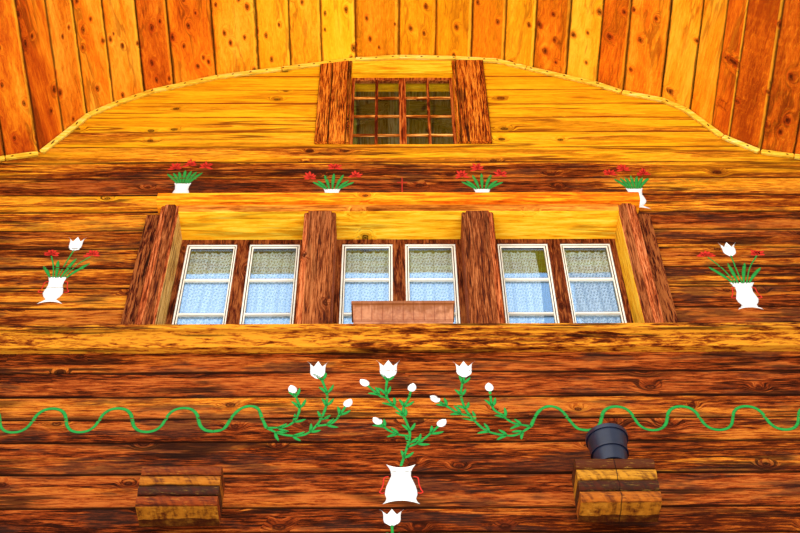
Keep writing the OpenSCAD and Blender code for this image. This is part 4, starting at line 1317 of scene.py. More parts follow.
@dataclass
class Ornaments:
    """Vases, tulips and vines painted on the front logs: thin coats that follow each log's face and joints.

    Places are metres across from the middle of the house and above the ground.
    """

    wall: LogWall
    white: Brushed
    green: Brushed
    red: Brushed
    coat: float = 0.001
    step: float = 0.012
    vine_w: float = 0.023
    stem_w: float = 0.018
    thin_w: float = 0.011
    bud_w: float = 0.052
    blade_w: float = 0.027
    leaf_l: float = 0.078
    leaf_w: float = 0.021
    node_gap: float = 0.11
    wave_z: float = 5.822
    wave_rise: float = 0.095
    wave_run: float = 0.39
    wave_low: tuple[float, float] = (-1.12, 1.07)
    wave_end: float = 4.1

    def __post_init__(self) -> None:
        """Starts one skin for each paint."""
        self.skins = {self.white: Skin(), self.green: Skin(), self.red: Skin()}
        self.rng = np.random.default_rng(23)

    def build(self) -> None:
        """Paints everything and makes one piece for each paint."""
        self._vines()
        self._middle_vase()
        self._side_groups()
        self._side_vases()
        self._upper_vases()
        for paint, skin in self.skins.items():
            skin.piece(f"painted_{paint.name}", paint.material(), closed=False)

    def lay(self, paint: Brushed, x: np.ndarray, z: np.ndarray, across: np.ndarray) -> None:
        """Lays a grid of places on the logs, a coat's thickness in front of them."""
        y = self.wall.house.front_y + self.wall.face(x, z) - self.coat
        self.skins[paint].grid(np.stack([x, y, z], -1), 0.0, across)

    def stroke(self, paint: Brushed, points: list, width: float,
               outline: Outline = Outline.EVEN) -> np.ndarray:
        """Paints a stroke along a smooth line.

        Args:
            paint: the paint.
            points: places it runs through.
            width: its greatest width.
            outline: how its width changes.

        Returns:
            The samples of its middle line.
        """
        line = smooth_line(points, self.step)
        ahead = np.gradient(line, axis=0)
        ahead /= np.linalg.norm(ahead, axis=1)[:, None]
        wide = outline.widths(np.linspace(0.0, 1.0, len(line)))
        share = np.linspace(-0.5, 0.5, 5)
        offset = (np.clip(wide, 0.05, None) * width)[:, None] * share[None, :]
        x = line[:, :1] + ahead[:, 1:] * offset
        z = line[:, 1:] - ahead[:, :1] * offset
        self.lay(paint, x, z, np.broadcast_to(share + 0.5, x.shape))
        return line

    def leaf(self, foot: np.ndarray, angle: float, length: float) -> None:
        """Paints one pointed leaf, slightly bent, from its foot at an angle from the level."""
        mid = foot + length * 0.5 * np.array([math.cos(angle - 0.12), math.sin(angle - 0.12)])
        tip = foot + length * np.array([math.cos(angle), math.sin(angle)])
        self.stroke(self.green, [foot, mid, tip], self.leaf_w, Outline.LEAF)

    def stem(self, points: list, bud: bool = False) -> None:
        """Paints a stem with pairs of leaves at even distances, and a white bud on its end if asked."""
        line = self.stroke(self.green, points, self.stem_w)
        steps = np.linalg.norm(np.diff(line, axis=0), axis=1)
        run = np.concatenate([[0.0], np.cumsum(steps)])
        for at in np.arange(self.node_gap * 0.5, run[-1] - 0.03, self.node_gap):
            k = min(int(np.searchsorted(run, at)), len(line) - 2)
            ahead = line[k + 1] - line[k]
            angle = math.atan2(ahead[1], ahead[0])
            for side in (-1, 1):
                turn = side * self.rng.uniform(0.45, 0.72)
                self.leaf(line[k], angle + turn, self.leaf_l * self.rng.uniform(0.8, 1.1))
        if bud:
            ahead = line[-1] - line[-3]
            ahead = ahead / np.linalg.norm(ahead)
            tip = line[-1] + ahead * 0.07
            start = line[-1] - ahead * 0.004
            self.stroke(self.white, [start, (line[-1] + tip) / 2, tip], self.bud_w, Outline.BUD)

    def tulip(self, x: float, foot: float, width: float, height: float) -> None:
        """Paints an open white tulip: a cup whose head has three points, the outer ones splayed."""
        u, t = np.meshgrid(np.linspace(-1, 1, 25), np.linspace(0, 1, 21))
        half = width / 2 * np.interp(t, (0, 0.06, 0.15, 0.3, 0.6, 0.8, 0.92, 1),
                                     (0.34, 0.55, 0.66, 0.72, 0.72, 0.78, 0.9, 1.06))
        head = height * (1 - 0.34 * t ** 2 * np.interp(np.abs(u), (0, 0.4, 1), (0, 1, 0)))
        z = foot + t * head + 0.1 * height * u ** 2 * (1 - t)
        self.lay(self.white, x + u * half, z, np.abs(u) * 0.4 + 0.5)

    def vase(self, x: float, foot: float, rim: float, width: float, shape: tuple, horn: float) -> None:
        """Paints a white vase on splayed feet.

        Args:
            x: its middle.
            foot: height of the feet's tips.
            rim: height of the rim's ends.
            width: width over the feet.
            shape: shares of the height, and of the width at each of them.
            horn: how far the rim's middle sinks, as a share of the height.
        """
        u, t = np.meshgrid(np.linspace(-1, 1, 13), np.linspace(0, 1, 41))
        half = width / 2 * np.interp(t, *shape)
        bow = (rim - foot) * (1 - u ** 2)
        z = foot + t * (rim - foot) + bow * (0.09 * (1 - t) ** 6 - horn * t ** 6)
        self.lay(self.white, x + u * half, z, np.abs(u) * 0.4 + 0.5)

    def bloom(self, x: float, z: float, size: float, tall: float = 0.85) -> None:
        """Paints a ragged red flower of seven petals, which reach `tall` times as high as wide."""
        for k in range(7):
            angle = math.radians(-10 + 200 * k / 6) + self.rng.uniform(-0.2, 0.2)
            reach = size * self.rng.uniform(0.75, 1.1)
            tip = (x + reach * math.cos(angle), z + reach * tall * math.sin(angle))
            middle = ((x + tip[0]) / 2, (z + tip[1]) / 2)
            self.stroke(self.red, [(x, z), middle, tip], size * 0.42, Outline.LEAF)

    def _vines(self) -> None:
        """Paints the two wavy vines: sine waves, whose places across are bent a little to round them."""
        for side, low in zip((-1, 1), self.wave_low):
            turns = (self.wave_end - abs(low)) / self.wave_run
            s = np.arange(0.0, turns * 2 * math.pi, math.pi / 6)
            x = low + side * (s / (2 * math.pi) * self.wave_run + 0.018 * np.sin(2 * s))
            z = self.wave_z - self.wave_rise * np.cos(s)
            points = np.stack([x, z], -1)
            self.stroke(self.green, points[::-1] if side < 0 else points, self.vine_w)

    def _middle_vase(self) -> None:
        """Paints the middle vase with its plant, and the tulip under it."""
        self.vase(-0.024, 5.184, 5.472, 0.208, FULL_VASE, 0.08)
        for side in (-1, 1):
            self.handle(-0.024 + side * 0.07, 5.382, side, 0.12)
        self.stem([(-0.024, 5.458), (0.0, 5.548), (0.025, 5.648), (0.031, 5.71), (0.015, 5.789),
                   (-0.014, 5.87), (-0.061, 5.927), (-0.1, 5.993), (-0.109, 6.06), (-0.1, 6.165)])
        self.tulip(-0.095, 6.162, 0.145, 0.158)
        self.stem([(0.012, 5.6), (0.085, 5.64), (0.15, 5.705), (0.2, 5.765)], bud=True)
        self.stem([(0.027, 5.69), (-0.035, 5.7), (-0.095, 5.735), (-0.14, 5.785)], bud=True)
        self.stem([(-0.01, 5.865), (0.0, 5.93), (0.025, 5.985), (0.042, 6.05)], bud=True)
        self.stem([(-0.1, 5.99), (-0.15, 6.02), (-0.19, 6.065), (-0.22, 6.1)], bud=True)
        self.tulip(-0.076, 5.033, 0.131, 0.117)
        self.stem([(-0.076, 4.76), (-0.07, 4.9), (-0.076, 5.04)])

    def _side_groups(self) -> None:
        """Paints the two climbing plants that the vines end in."""
        self.stroke(self.green, [(-1.12, 5.727), (-1.058, 5.752), (-1.018, 5.85), (-0.972, 5.912),
                                 (-0.92, 5.93), (-0.872, 5.908), (-0.843, 5.834), (-0.811, 5.754)],
                    self.vine_w)
        self.stem([(-0.811, 5.754), (-0.71, 5.702), (-0.593, 5.698), (-0.52, 5.768), (-0.475, 5.888),
                   (-0.465, 6.023), (-0.505, 6.165)])
        self.tulip(-0.53, 6.16, 0.128, 0.153)
        self.stem([(-0.811, 5.754), (-0.7, 5.765), (-0.645, 5.82), (-0.625, 5.92), (-0.665, 6.04)], bud=True)
        self.stem([(-0.52, 5.768), (-0.43, 5.79), (-0.385, 5.855), (-0.35, 5.925)], bud=True)
        self.stroke(self.green, [(0.744, 5.761), (0.782, 5.85), (0.83, 5.908), (0.886, 5.92), (0.938, 5.885),
                                 (0.98, 5.8), (1.018, 5.742), (1.07, 5.727)], self.vine_w)
        self.stem([(0.744, 5.761), (0.662, 5.699), (0.592, 5.691), (0.488, 5.723), (0.417, 5.803),
                   (0.363, 5.908), (0.344, 6.033), (0.37, 6.17)])
        self.tulip(0.372, 6.166, 0.131, 0.143)
        self.stem([(0.744, 5.761), (0.64, 5.79), (0.585, 5.85), (0.53, 5.91), (0.52, 6.05)], bud=True)
        self.stem([(0.4, 5.84), (0.32, 5.87), (0.26, 5.92), (0.21, 5.965)], bud=True)

    def _plant(self, x: float, rim: float, plant: Plant) -> None:
        """Paints what stands in a side vase: stems with flowers, and blades from the rim."""
        for foot, tip, rise in plant.blooms:
            self.stroke(self.green, [(x + foot, rim - 0.01), (x + foot * 0.6 + tip * 0.4, rim + rise * 0.5),
                                     (x + tip * 0.95, rim + rise - 0.02)], self.thin_w)
            self.bloom(x + tip, rim + rise, 0.062)
        tip, rise = plant.tulip
        self.stroke(self.green, [(x, rim - 0.01), (x + tip * 0.45, rim + rise * 0.5),
                                 (x + tip, rim + rise + 0.01)], self.thin_w)
        self.tulip(x + tip, rim + rise, 0.125, 0.155)
        for foot, tip, rise in plant.blades:
            self.blade((x + foot, rim - 0.01), (x + tip, rim + rise))

    def blade(self, foot: tuple[float, float], tip: tuple[float, float]) -> None:
        """Paints a long blade, narrow at its foot and blunt at its tip."""
        mid = ((foot[0] + tip[0]) / 2 + (foot[0] - tip[0]) * 0.04, (foot[1] + tip[1]) / 2 + 0.004)
        self.stroke(self.green, [foot, mid, tip], self.blade_w, Outline.BLADE)

    def _side_vases(self) -> None:
        """Paints the vases beside the upper row of windows."""
        for x, foot, rim, shape, plant in ((-2.31, 6.854, 7.126, SLIM_VASE, LEFT_PLANT),
                                           (2.27, 6.778, 7.05, HORNED_VASE, RIGHT_PLANT)):
            self.vase(x, foot, rim, 0.17, shape, 0.0)
            for side in (-1, 1):
                self.handle(x + side * 0.05, rim - 0.045, side, 0.11)
            self._plant(x, rim, plant)

    def handle(self, x: float, z: float, side: int, drop: float) -> None:
        """Paints a thin curled handle that hangs beside a vase."""
        curl = ((0.0, 0.0), (0.025, -0.08), (0.03, -0.45), (0.04, -0.75), (0.05, -0.93), (0.038, -1.0),
                (0.022, -0.97))
        self.stroke(self.red, [(x + side * out, z + down * drop) for out, down in curl], 0.009)

    def _upper_vases(self) -> None:
        """Paints the four vases over the cornice: a fan of blades and three flowers in each."""
        for x, rim, leaves, heads in (
                (-1.607, 8.19, FAN, ((-0.08, 0.185), (0.022, 0.23), (0.147, 0.2))),
                (-0.506, 8.116, SPREAD, ((-0.168, 0.14), (0.01, 0.26), (0.17, 0.155))),
                (0.593, 8.112, SPREAD, ((-0.14, 0.16), (-0.02, 0.25), (0.15, 0.17))),
                (1.71, 8.113, FAN, ((-0.155, 0.175), (-0.045, 0.235), (0.095, 0.175)))):
            self.vase(x, rim - 0.254, rim, 0.17, SLIM_VASE, 0.02)
            for tip, rise in leaves:
                self.blade((x + tip * 0.3, rim - 0.01), (x + tip, rim + rise))
            for across, rise in heads:
                self.bloom(x + across, rim + rise, 0.058, 1.35)
        self.stroke(self.red, [(0.007, 8.071), (0.008, 8.16), (0.008, 8.257)], 0.008)
        self.stroke(self.red, [(-0.03, 8.19), (0.008, 8.192), (0.046, 8.19)], 0.008)


@dataclass
class Casements:
    """The moulded rings of all casements: two beads with a groove between them."""

    finish: Paint
    house: House = HOUSE

    def ring(self, skin: Skin, place: np.ndarray, along: np.ndarray, into: np.ndarray,
             height: float) -> None:
        """Adds one ring, mitred at its corners.

        The profile is drawn in from the outline towards the glass. Each of its points makes a rectangle, and
        the rectangles' corners are the grid.

        Args:
            skin: where it goes.
            place: middle of its sill, on its front face.
            along: direction along the wall.
            into: direction into the wall.
            height: outer height.
        """
        h = self.house
        reach = np.array([0, 0, 0.4, 0.43, 0.64, 0.67, 0.86, 1, 1]) * h.rail_w
        depth = np.array([1, 0, 0, 0.2, 0.2, 0.08, 0.08, 0.35, 1]) * h.rail_d
        corner = np.array([(-1, 0), (1, 0), (1, 1), (-1, 1), (-1, 0)], float)
        u = corner[:, :1] * (h.sash_w / 2 - reach)
        w = corner[:, 1:] * (height - 2 * reach) + reach
        points = place + u[..., None] * along + depth[None, :, None] * into + w[..., None] * UP
        skin.grid(points, float(place.sum()), reach / h.rail_w, wrap=True)

    def build(self) -> None:
        """Makes the rings of the front windows and those of the other walls."""
        h = self.house
        front, side = Skin(), Skin()
        for facing in Facing:
            along, into = (np.array(v, float) for v in facing.value)
            outer = h.half_w if facing in (Facing.LEFT, Facing.RIGHT) else -h.front_y
            first = facing is Facing.FRONT
            for z in h.row_heights:
                for k in (-1, 0, 1):
                    middle = ROW_X + k * h.bay if first else k * h.side_pitch
                    for s in (-1, 1):
                        at = middle + s * (h.mullion_w + h.sash_w) / 2
                        place = along * at + into * (h.sash_inset - outer) + UP * (z + h.frame_w)
                        self.ring(front if first else side, place, along, into, OPENING_H - 2 * h.frame_w)
        for name, skin in (("front_casements", front), ("side_casements", side)):
            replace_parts(skin.piece(f"{name}_moulded", self.finish.material(), "casements"), name)


@dataclass
class AtticCasings:
    """The boards round both attic windows: planks and a fillet on each side, and a sunk head board."""

    plank: Wood
    head: Wood
    fillet_w: float = 0.024
    board_t: float = 0.025
    head_sink: float = 0.012
    gap: float = 0.003
    strip_drop: float = 0.053
    head_h: float = 0.17
    edge: float = 0.003
    fillet_sink: float = 0.004
    house: House = HOUSE

    def board(self, skin: Skin, x0: float, x1: float, foot: float, sink: float, seed: float,
              back: bool) -> None:
        """Adds one upright board whose head follows the arch.

        Its outline is a rectangle with eased front edges, carried from the foot to the arch at each corner.

        Args:
            skin: where it goes.
            x0: its left side, seen from the front of its own wall.
            x1: its right side.
            foot: height of its lower end.
            sink: how far its face lies behind the others.
            seed: its own number.
            back: whether it is on the back wall.
        """
        h = self.house
        e, front = self.edge, self.board_t - sink
        x = np.array([x0, x0, x0 + e, x1 - e, x1, x1])
        y = h.front_y - np.array([0.0, front - e, front, front, front - e, 0.0])
        arch = h.spring_z + h.arch_over(x / h.arch_half) - self.strip_drop
        top = np.minimum(arch, h.attic_z + h.attic_h + self.head_h)
        share = np.linspace(0.0, 1.0, 4)[:, None]
        z = foot + (top[None, :] - foot) * share
        points = np.stack(np.broadcast_arrays(x[None, :], y[None, :], z), -1)
        if back:
            points = points * [-1, -1, 1]
        skin.grid(points, seed, np.clip((x - x0) / (x1 - x0), 0, 1), True, True)

    def build(self) -> None:
        """Makes the boards of both windows as one piece and their heads as another."""
        h = self.house
        planks, heads = Skin(), Skin()
        left, right = ATTIC_X - h.attic_w / 2, ATTIC_X + h.attic_w / 2
        board_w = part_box("attic_casings")[1].x - right
        marks = (left - board_w, ATTIC_SEAM, left - self.fillet_w, left, right, right + self.fillet_w,
                 right + board_w)
        for back in (False, True):
            for k, at in enumerate((0, 1, 2, 4, 5)):
                a, b = marks[at], marks[at + 1]
                sink = self.fillet_sink if b - a < 2 * self.fillet_w else 0.0
                self.board(planks, a + self.gap / 2, b - self.gap / 2, h.attic_z, sink,
                           2.3 * k + 11 * back, back)
            self.board(heads, left + self.gap, right - self.gap, h.attic_z + h.attic_h, self.head_sink,
                       5.1 + back, back)
        made = planks.piece("attic_boards", self.plank.material(), "attic_timber")
        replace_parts(made, "attic_casings")
        heads.piece("attic_heads", self.head.material(), "attic_timber")


@dataclass
class FrontWindows:
    """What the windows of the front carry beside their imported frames: glazing bars, rods and curtains.

    For each casement of a row, edges has the left and the right side of its curtain, as shares of the width
    at edge_places of the way down.
    """

    bar_finish: Paint
    attic_finish: Wood
    rail_finish: Wood
    lace: Lace
    rod_finish: Moulded
    bar_w: float = 0.017
    bar_d: float = 0.026
    panes: int = 3
    attic_rows: int = 4
    attic_pane_h: float = 0.27
    attic_bar_w: float = 0.024
    rail_h: float = 0.018
    edge_places: tuple = (0.0, 0.3, 0.45, 0.7, 1.0)
    edges: tuple = (((0, 0, 0, 0, 0), (1, 1, 0.98, 0.86, 0.74)),
                    ((0.06, 0.06, 0.07, 0.08, 0.08), (0.95, 0.94, 0.93, 0.92, 0.92)),
                    ((0, 0, 0, 0, 0), (1, 1, 1, 1, 1)),
                    ((0, 0, 0, 0, 0), (1, 1, 1, 1, 1)),
                    ((0, 0, 0, 0, 0), (0.76, 0.8, 0.78, 0.75, 0.73)),
                    ((0, 0, 0.02, 0.14, 0.28), (1, 1, 1, 1, 1)))
    tuck: float = 0.003
    bar_out: float = 0.004
    rail_thin: float = 0.004
    cloth_side: float = 0.002
    cloth_end: float = 0.005
    rod_r: float = 0.006
    rod_drop: float = 0.035
    rod_gap: float = 0.018
    rod_end: float = 0.005
    folds: tuple[int, int] = (6, 10)
    fold_depth: float = 0.009
    scallops: int = 9
    scallop_h: float = 0.012
    cloth_rows: int = 40
    cloth_cols: int = 121
    house: House = HOUSE

    def casements(self) -> list[tuple[float, float]]:
        """Middle and sill of each casement of the two rows."""
        h = self.house
        shift = (h.mullion_w + h.sash_w) / 2
        return [(ROW_X + k * h.bay + s * shift, z)
                for z in h.row_heights for k in (-1, 0, 1) for s in (-1, 1)]

    def bars(self) -> bpy.types.Object:
        """Makes the level bars that part each casement into three panes."""
        h = self.house
        skin = Skin()
        y = h.front_y + h.sash_inset + self.bar_d / 2 - self.bar_out
        low, high = h.frame_w + h.rail_w, OPENING_H - h.frame_w - h.rail_w
        half = h.sash_w / 2 - h.rail_w + self.tuck
        for x, z in self.casements():
            for k in range(1, self.panes):
                level = z + low + (high - low) * k / self.panes
                skin.bar((x - half, y, level), (x + half, y, level), self.bar_d, self.bar_w, DEEP, UP)
        return skin.piece("front_glazing_bars", self.bar_finish.material(), "casements")

    def attic_bars(self) -> None:
        """Makes the bars that part each attic casement into two columns of four panes, front and back."""
        h = self.house
        uprights, rails = Skin(), Skin()
        sash = h.attic_w / 2
        half = sash / 2 - h.rail_w + self.tuck
        low, high = h.attic_z + h.rail_w, h.attic_z + h.attic_h - h.rail_w
        for side in (-1, 1):
            y = side * (-h.front_y - h.attic_inset - self.bar_d / 2)
            for x in (-side * ATTIC_X - sash / 2, -side * ATTIC_X + sash / 2):
                for k in range(1, self.attic_rows):
                    level = high - self.attic_pane_h * k
                    rails.bar((x - half, y, level), (x + half, y, level), self.bar_d - self.rail_thin,
                              self.rail_h, DEEP, UP, k + x)
                uprights.bar((x, y, low - self.tuck), (x, y, high + self.tuck), self.bar_d, self.attic_bar_w,
                             DEEP, RIGHT, x)
        uprights.piece("attic_uprights", self.attic_finish.material(), "attic_timber")
        rails.piece("attic_rails", self.rail_finish.material(), "attic_timber")

    def rods(self) -> bpy.types.Object:
        """Makes a thin rod behind the head of each front window."""
        h = self.house
        skin = Skin()
        turn = np.linspace(0, 2 * math.pi, 12, endpoint=False)
        profile = np.stack([np.cos(turn), np.sin(turn)], -1) * self.rod_r
        y = h.front_y + h.win_inset + h.frame_d + self.rod_gap
        half = h.light_w / 2 - self.rod_end
        for z in h.row_heights:
            for k in (-1, 0, 1):
                x, level = ROW_X + k * h.bay, z + OPENING_H - h.frame_w - self.rod_drop
                path = np.array([[x - half, y, level], [x + half, y, level]])
                skin.sweep(profile, path, DEEP, UP)
        return skin.piece("curtain_rods", self.rod_finish.material(), "iron", smooth=True)

    def curtains(self, rods: bpy.types.Object) -> None:
        """Hangs one gathered curtain behind each casement.

        A curtain is a grid: across runs along the rod, down runs to the sill, and the depth is a sum of two
        sines whose folds deepen downwards. Its sides keep to the given edges, and its hem is scalloped.
        """
        h = self.house
        material = self.lace.material()
        rng = np.random.default_rng(7)
        width = h.sash_w - 2 * self.cloth_side
        length = OPENING_H - 2 * h.frame_w - 2 * self.cloth_end
        wide, narrow = (2 * math.pi * count for count in self.folds)
        s, t = np.meshgrid(np.linspace(0, 1, self.cloth_cols), np.linspace(0, 1, self.cloth_rows))
        for number, (x, z) in enumerate(self.casements()):
            phase = rng.uniform(0, 6.28, 3)
            waves = np.sin(s * wide + phase[0] + 0.6 * t) + 0.5 * np.sin(s * narrow + phase[1])
            y = h.curtain_y + self.fold_depth * (0.6 + 0.4 * t) * waves
            left, right = (np.interp(t, self.edge_places, edge) for edge in self.edges[number % 6])
            px = x - width / 2 + (left + s * (right - left)) * width
            hem = self.scallop_h * np.abs(np.sin(s * math.pi * self.scallops)) * t
            pz = z + OPENING_H - h.frame_w - self.cloth_end - t * length + hem
            points = np.stack([px, y, pz], -1)
            run = np.linalg.norm(np.diff(points, axis=1), axis=-1).sum(1).mean()
            drop = np.linalg.norm(np.diff(points, axis=0), axis=-1).sum(0).mean()
            skin = Skin()
            skin.grid(points)
            made = skin.piece(f"curtain_{number}", material, closed=False, smooth=True)
            self._map(made, s * run, t * drop)

    def _map(self, made: bpy.types.Object, u: np.ndarray, v: np.ndarray) -> None:
        """Writes a map of the cloth in metres, u across and v down."""
        mesh = made.data
        layer = mesh.uv_layers.new(name="cloth")
        corners = np.zeros(len(mesh.loops), np.int64)
        mesh.loops.foreach_get("vertex_index", corners)
        flat = np.stack([u.reshape(-1)[corners], v.reshape(-1)[corners]], -1)
        layer.data.foreach_set("uv", flat.reshape(-1).astype(np.float32))


@dataclass
class Shingles:
    """Split shingles in courses over both slopes of the roof."""

    finish: Wood
    width: float = 0.16
    gauge: float = 0.21
    thick: float = 0.016
    lap: float = 0.3
    widths: tuple[float, float] = (0.86, 0.97)
    jitter: float = 0.008
    lift: float = 0.005
    head_h: float = 0.001
    ridge_gap: float = 0.12
    eaves_out: float = 0.015
    stack_in: float = 0.08
    house: House = HOUSE

    def build(self) -> None:
        """Makes one piece for each slope.

        Each shingle is a wedge of eight corners: its place along the eaves and up the slope, plus its own
        width, length and tilt. The corners of all shingles are worked out as one array.
        """
        h = self.house
        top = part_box("roof_left")[1].z
        slant = math.hypot(1.0, h.slope)
        rows = int((h.roof_x - self.ridge_gap) * slant / self.gauge) + 1
        cols = int((h.roof_y1 - h.roof_y0) / self.width)
        down = np.array([1.0, 0.0, -h.slope]) / slant
        out = np.array([h.slope, 0.0, 1.0]) / slant
        for side, name in ((-1, "shingles_left"), (1, "shingles_right")):
            rng = np.random.default_rng(100 + side)
            r, c = np.meshgrid(np.arange(rows), np.arange(cols), indexing="ij")
            r, c = r.reshape(-1), c.reshape(-1)
            w = self.width * rng.uniform(*self.widths, r.size)
            place = (c + 0.5 + 0.5 * (r % 2) * (c < cols - 1)) * self.width
            y = h.roof_y0 + place + self._jitter(rng, r.size)
            y = np.clip(y, h.roof_y0 + w / 2, h.roof_y1 - w / 2)
            foot = (h.roof_x * slant + self.eaves_out) - r * self.gauge + self._jitter(rng, r.size)
            head = np.maximum(foot - self.gauge - self.lap * self.gauge, 0.02)
            lift = rng.uniform(0.0, self.lift, r.size)
            corners = []
            for at, height, tip in ((head, self.head_h, 0.0 * lift), (foot, self.thick, lift)):
                for level in (0.0, self.thick):
                    for edge in (-0.5, 0.5):
                        rise = height + level + tip
                        corners.append(down[None, :] * at[:, None] + out[None, :] * rise[:, None]
                                       + DEEP[None, :] * (y + edge * w)[:, None])
            points = np.stack(corners, 1)
            points[..., 0] *= side
            points[..., 2] += top
            keep = ~self._at_stack(points)
            self._piece(points[keep], name, rng)

    def _jitter(self, rng: np.random.Generator, count: int) -> np.ndarray:
        """Small random shifts, in metres."""
        return rng.uniform(-self.jitter, self.jitter, count)

    def _at_stack(self, points: np.ndarray) -> np.ndarray:
        """Tells which shingles would stand in the chimney, by more than a small overlap."""
        low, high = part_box("chimney")
        x, y = points.mean(1)[:, :2].T
        within = (x > low.x + self.stack_in) & (x < high.x - self.stack_in)
        return within & (y > low.y + self.stack_in) & (y < high.y - self.stack_in)

    def _piece(self, points: np.ndarray, name: str, rng: np.random.Generator) -> None:
        """Turns the corners of all shingles of a slope into one piece."""
        count = len(points)
        cube = np.array([[0, 1, 3, 2], [4, 6, 7, 5], [0, 4, 5, 1], [2, 3, 7, 6], [0, 2, 6, 4], [1, 5, 7, 3]])
        skin = Skin()
        skin.points.append(points.reshape(-1, 3))
        skin.quads.append((np.arange(count)[:, None, None] * 8 + cube[None]).reshape(-1, 4))
        skin.seeds.append(np.repeat(rng.uniform(0, 40, count), 8))
        skin.across.append(np.full(count * 8, 0.5))
        skin.ages.append(np.zeros(count * 8))
        skin.piece(name, self.finish.material(), "roof_cover")


@dataclass(frozen=True)
class Eye:
    """The camera at the photograph's viewpoint: below the gable, looking steeply up."""

    place: tuple[float, float, float] = (-0.082, -10.208, 0.779)
    tilt: float = math.radians(50.0)
    yaw: float = math.radians(0.71)
    roll: float = math.radians(-0.71)
    lens_px: float = 1240.9
    sensor: float = 36.0

    def build(self) -> None:
        """Makes the camera. Its axes are worked out from tilt, yaw and roll, and its lens from pixels."""
        right = Vector((math.cos(self.yaw), -math.sin(self.yaw), 0.0))
        ahead = Vector((math.sin(self.yaw) * math.cos(self.tilt), math.cos(self.yaw) * math.cos(self.tilt),
                        math.sin(self.tilt)))
        up = right.cross(ahead)
        side = right * math.cos(self.roll) + up * math.sin(self.roll)
        top = up * math.cos(self.roll) - right * math.sin(self.roll)
        data = bpy.data.cameras.new("eye")
        data.sensor_fit = "HORIZONTAL"
        data.sensor_width = self.sensor
        data.lens = self.lens_px * self.sensor / IMAGE_W
        data.clip_end = 200.0
        eye = bpy.data.objects.new("eye", data)
        turn = Matrix((side, top, -ahead)).transposed().to_4x4()
        turn.translation = Vector(self.place)
        eye.matrix_world = turn
        bpy.context.scene.collection.objects.link(eye)
        bpy.context.scene.camera = eye


@dataclass(frozen=True)
class Studio:
    """A pale floor, an even pale sky, two soft suns and two softboxes."""

    sky_light: float = 0.7
    key_power: float = 0.8
    soft_power: float = 360.0
    gable_power: float = 320.0
    floor_half: float = 60.0
    sun_spread: float = 60.0

    def build(self) -> None:
        """Makes the world, the floor and the lamps."""
        self._world()
        self._floor()
        self._sun("key_lamp", (55, 0, -24), self.key_power)
        self._sun("fill_lamp", (60, 0, 150), self.key_power * 0.35)
        self._softbox("low_softbox", (0.0, -8.5, 0.3), 172, (8.0, 3.0), self.soft_power)
        self._softbox("gable_softbox", (0.0, -9.2, 5.6), 138, (6.0, 1.2), self.gable_power)

    def _world(self) -> None:
        """Makes a world that lights evenly and looks pale to the camera, in gloss and through glass."""
        g = Graph("studio", world=True)
        seen = g.ray("Camera").most(g.ray("Transmission")).most(g.ray("Glossy"))
        light = g.node("ShaderNodeBackground", None,
                       {"Color": (1.0, 0.985, 0.96, 1.0), "Strength": self.sky_light})
        shown = g.node("ShaderNodeBackground", None, {"Color": (0.86, 0.9, 0.94, 1.0), "Strength": 1.0})
        mixed = g.node("ShaderNodeMixShader", None, {0: seen, 1: light, 2: shown})
        bpy.context.scene.world = g.finish(mixed)

    def _floor(self) -> None:
        """Makes the pale floor, a little below the house."""
        r, z = self.floor_half, -0.001
        mesh = bpy.data.meshes.new("studio_floor")
        mesh.from_pydata([(-r, -r, z), (r, -r, z), (r, r, z), (-r, r, z)], [], [(0, 1, 2, 3)])
        g = Graph("studio_floor")
        mesh.materials.append(g.finish(g.surface(Base_Color=(0.8, 0.79, 0.77, 1.0), Roughness=0.9)))
        floor = bpy.data.objects.new("studio_floor", mesh)
        bpy.context.scene.collection.objects.link(floor)

    def _lamp(self, name: str, kind: str, power: float, colour: tuple[float, float, float],
              turn: tuple[float, float, float]) -> bpy.types.Object:
        """Makes a lamp of a kind, turned by so many degrees about each axis."""
        data = bpy.data.lights.new(name, kind)
        data.energy = power
        data.color = colour
        lamp = bpy.data.objects.new(name, data)
        lamp.rotation_euler = [math.radians(angle) for angle in turn]
        bpy.context.scene.collection.objects.link(lamp)
        return lamp

    def _softbox(self, name: str, place: tuple[float, float, float], turn: float, size: tuple[float, float],
                 power: float) -> None:
        """Makes a wide soft lamp in front of the house, turned up to the gable by so many degrees."""
        lamp = self._lamp(name, "AREA", power, (1.0, 0.97, 0.92), (turn, 0, 0))
        lamp.data.shape = "RECTANGLE"
        lamp.data.size, lamp.data.size_y = size
        lamp.location = place
        lamp.visible_camera = False
        lamp.visible_glossy = False

    def _sun(self, name: str, turn: tuple[float, float, float], power: float) -> None:
        """Makes one wide, soft sun."""
        self._lamp(name, "SUN", power, (1.0, 0.96, 0.9), turn).data.angle = math.radians(self.sun_spread)


@dataclass
class Dressing:
    """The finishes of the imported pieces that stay, each with the names of the pieces that wear it."""

    pieces: dict[Wood | Plaster | Pane | Moulded | Ribbed, str]

    def build(self) -> None:
        """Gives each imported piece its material."""
        for finish, nodes in self.pieces.items():
            material = finish.material()
            for node in nodes.split():
                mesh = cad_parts[node].data
                mesh.materials.clear()
                mesh.materials.append(material)
                log.info("%s dressed as %s", node, finish.name)


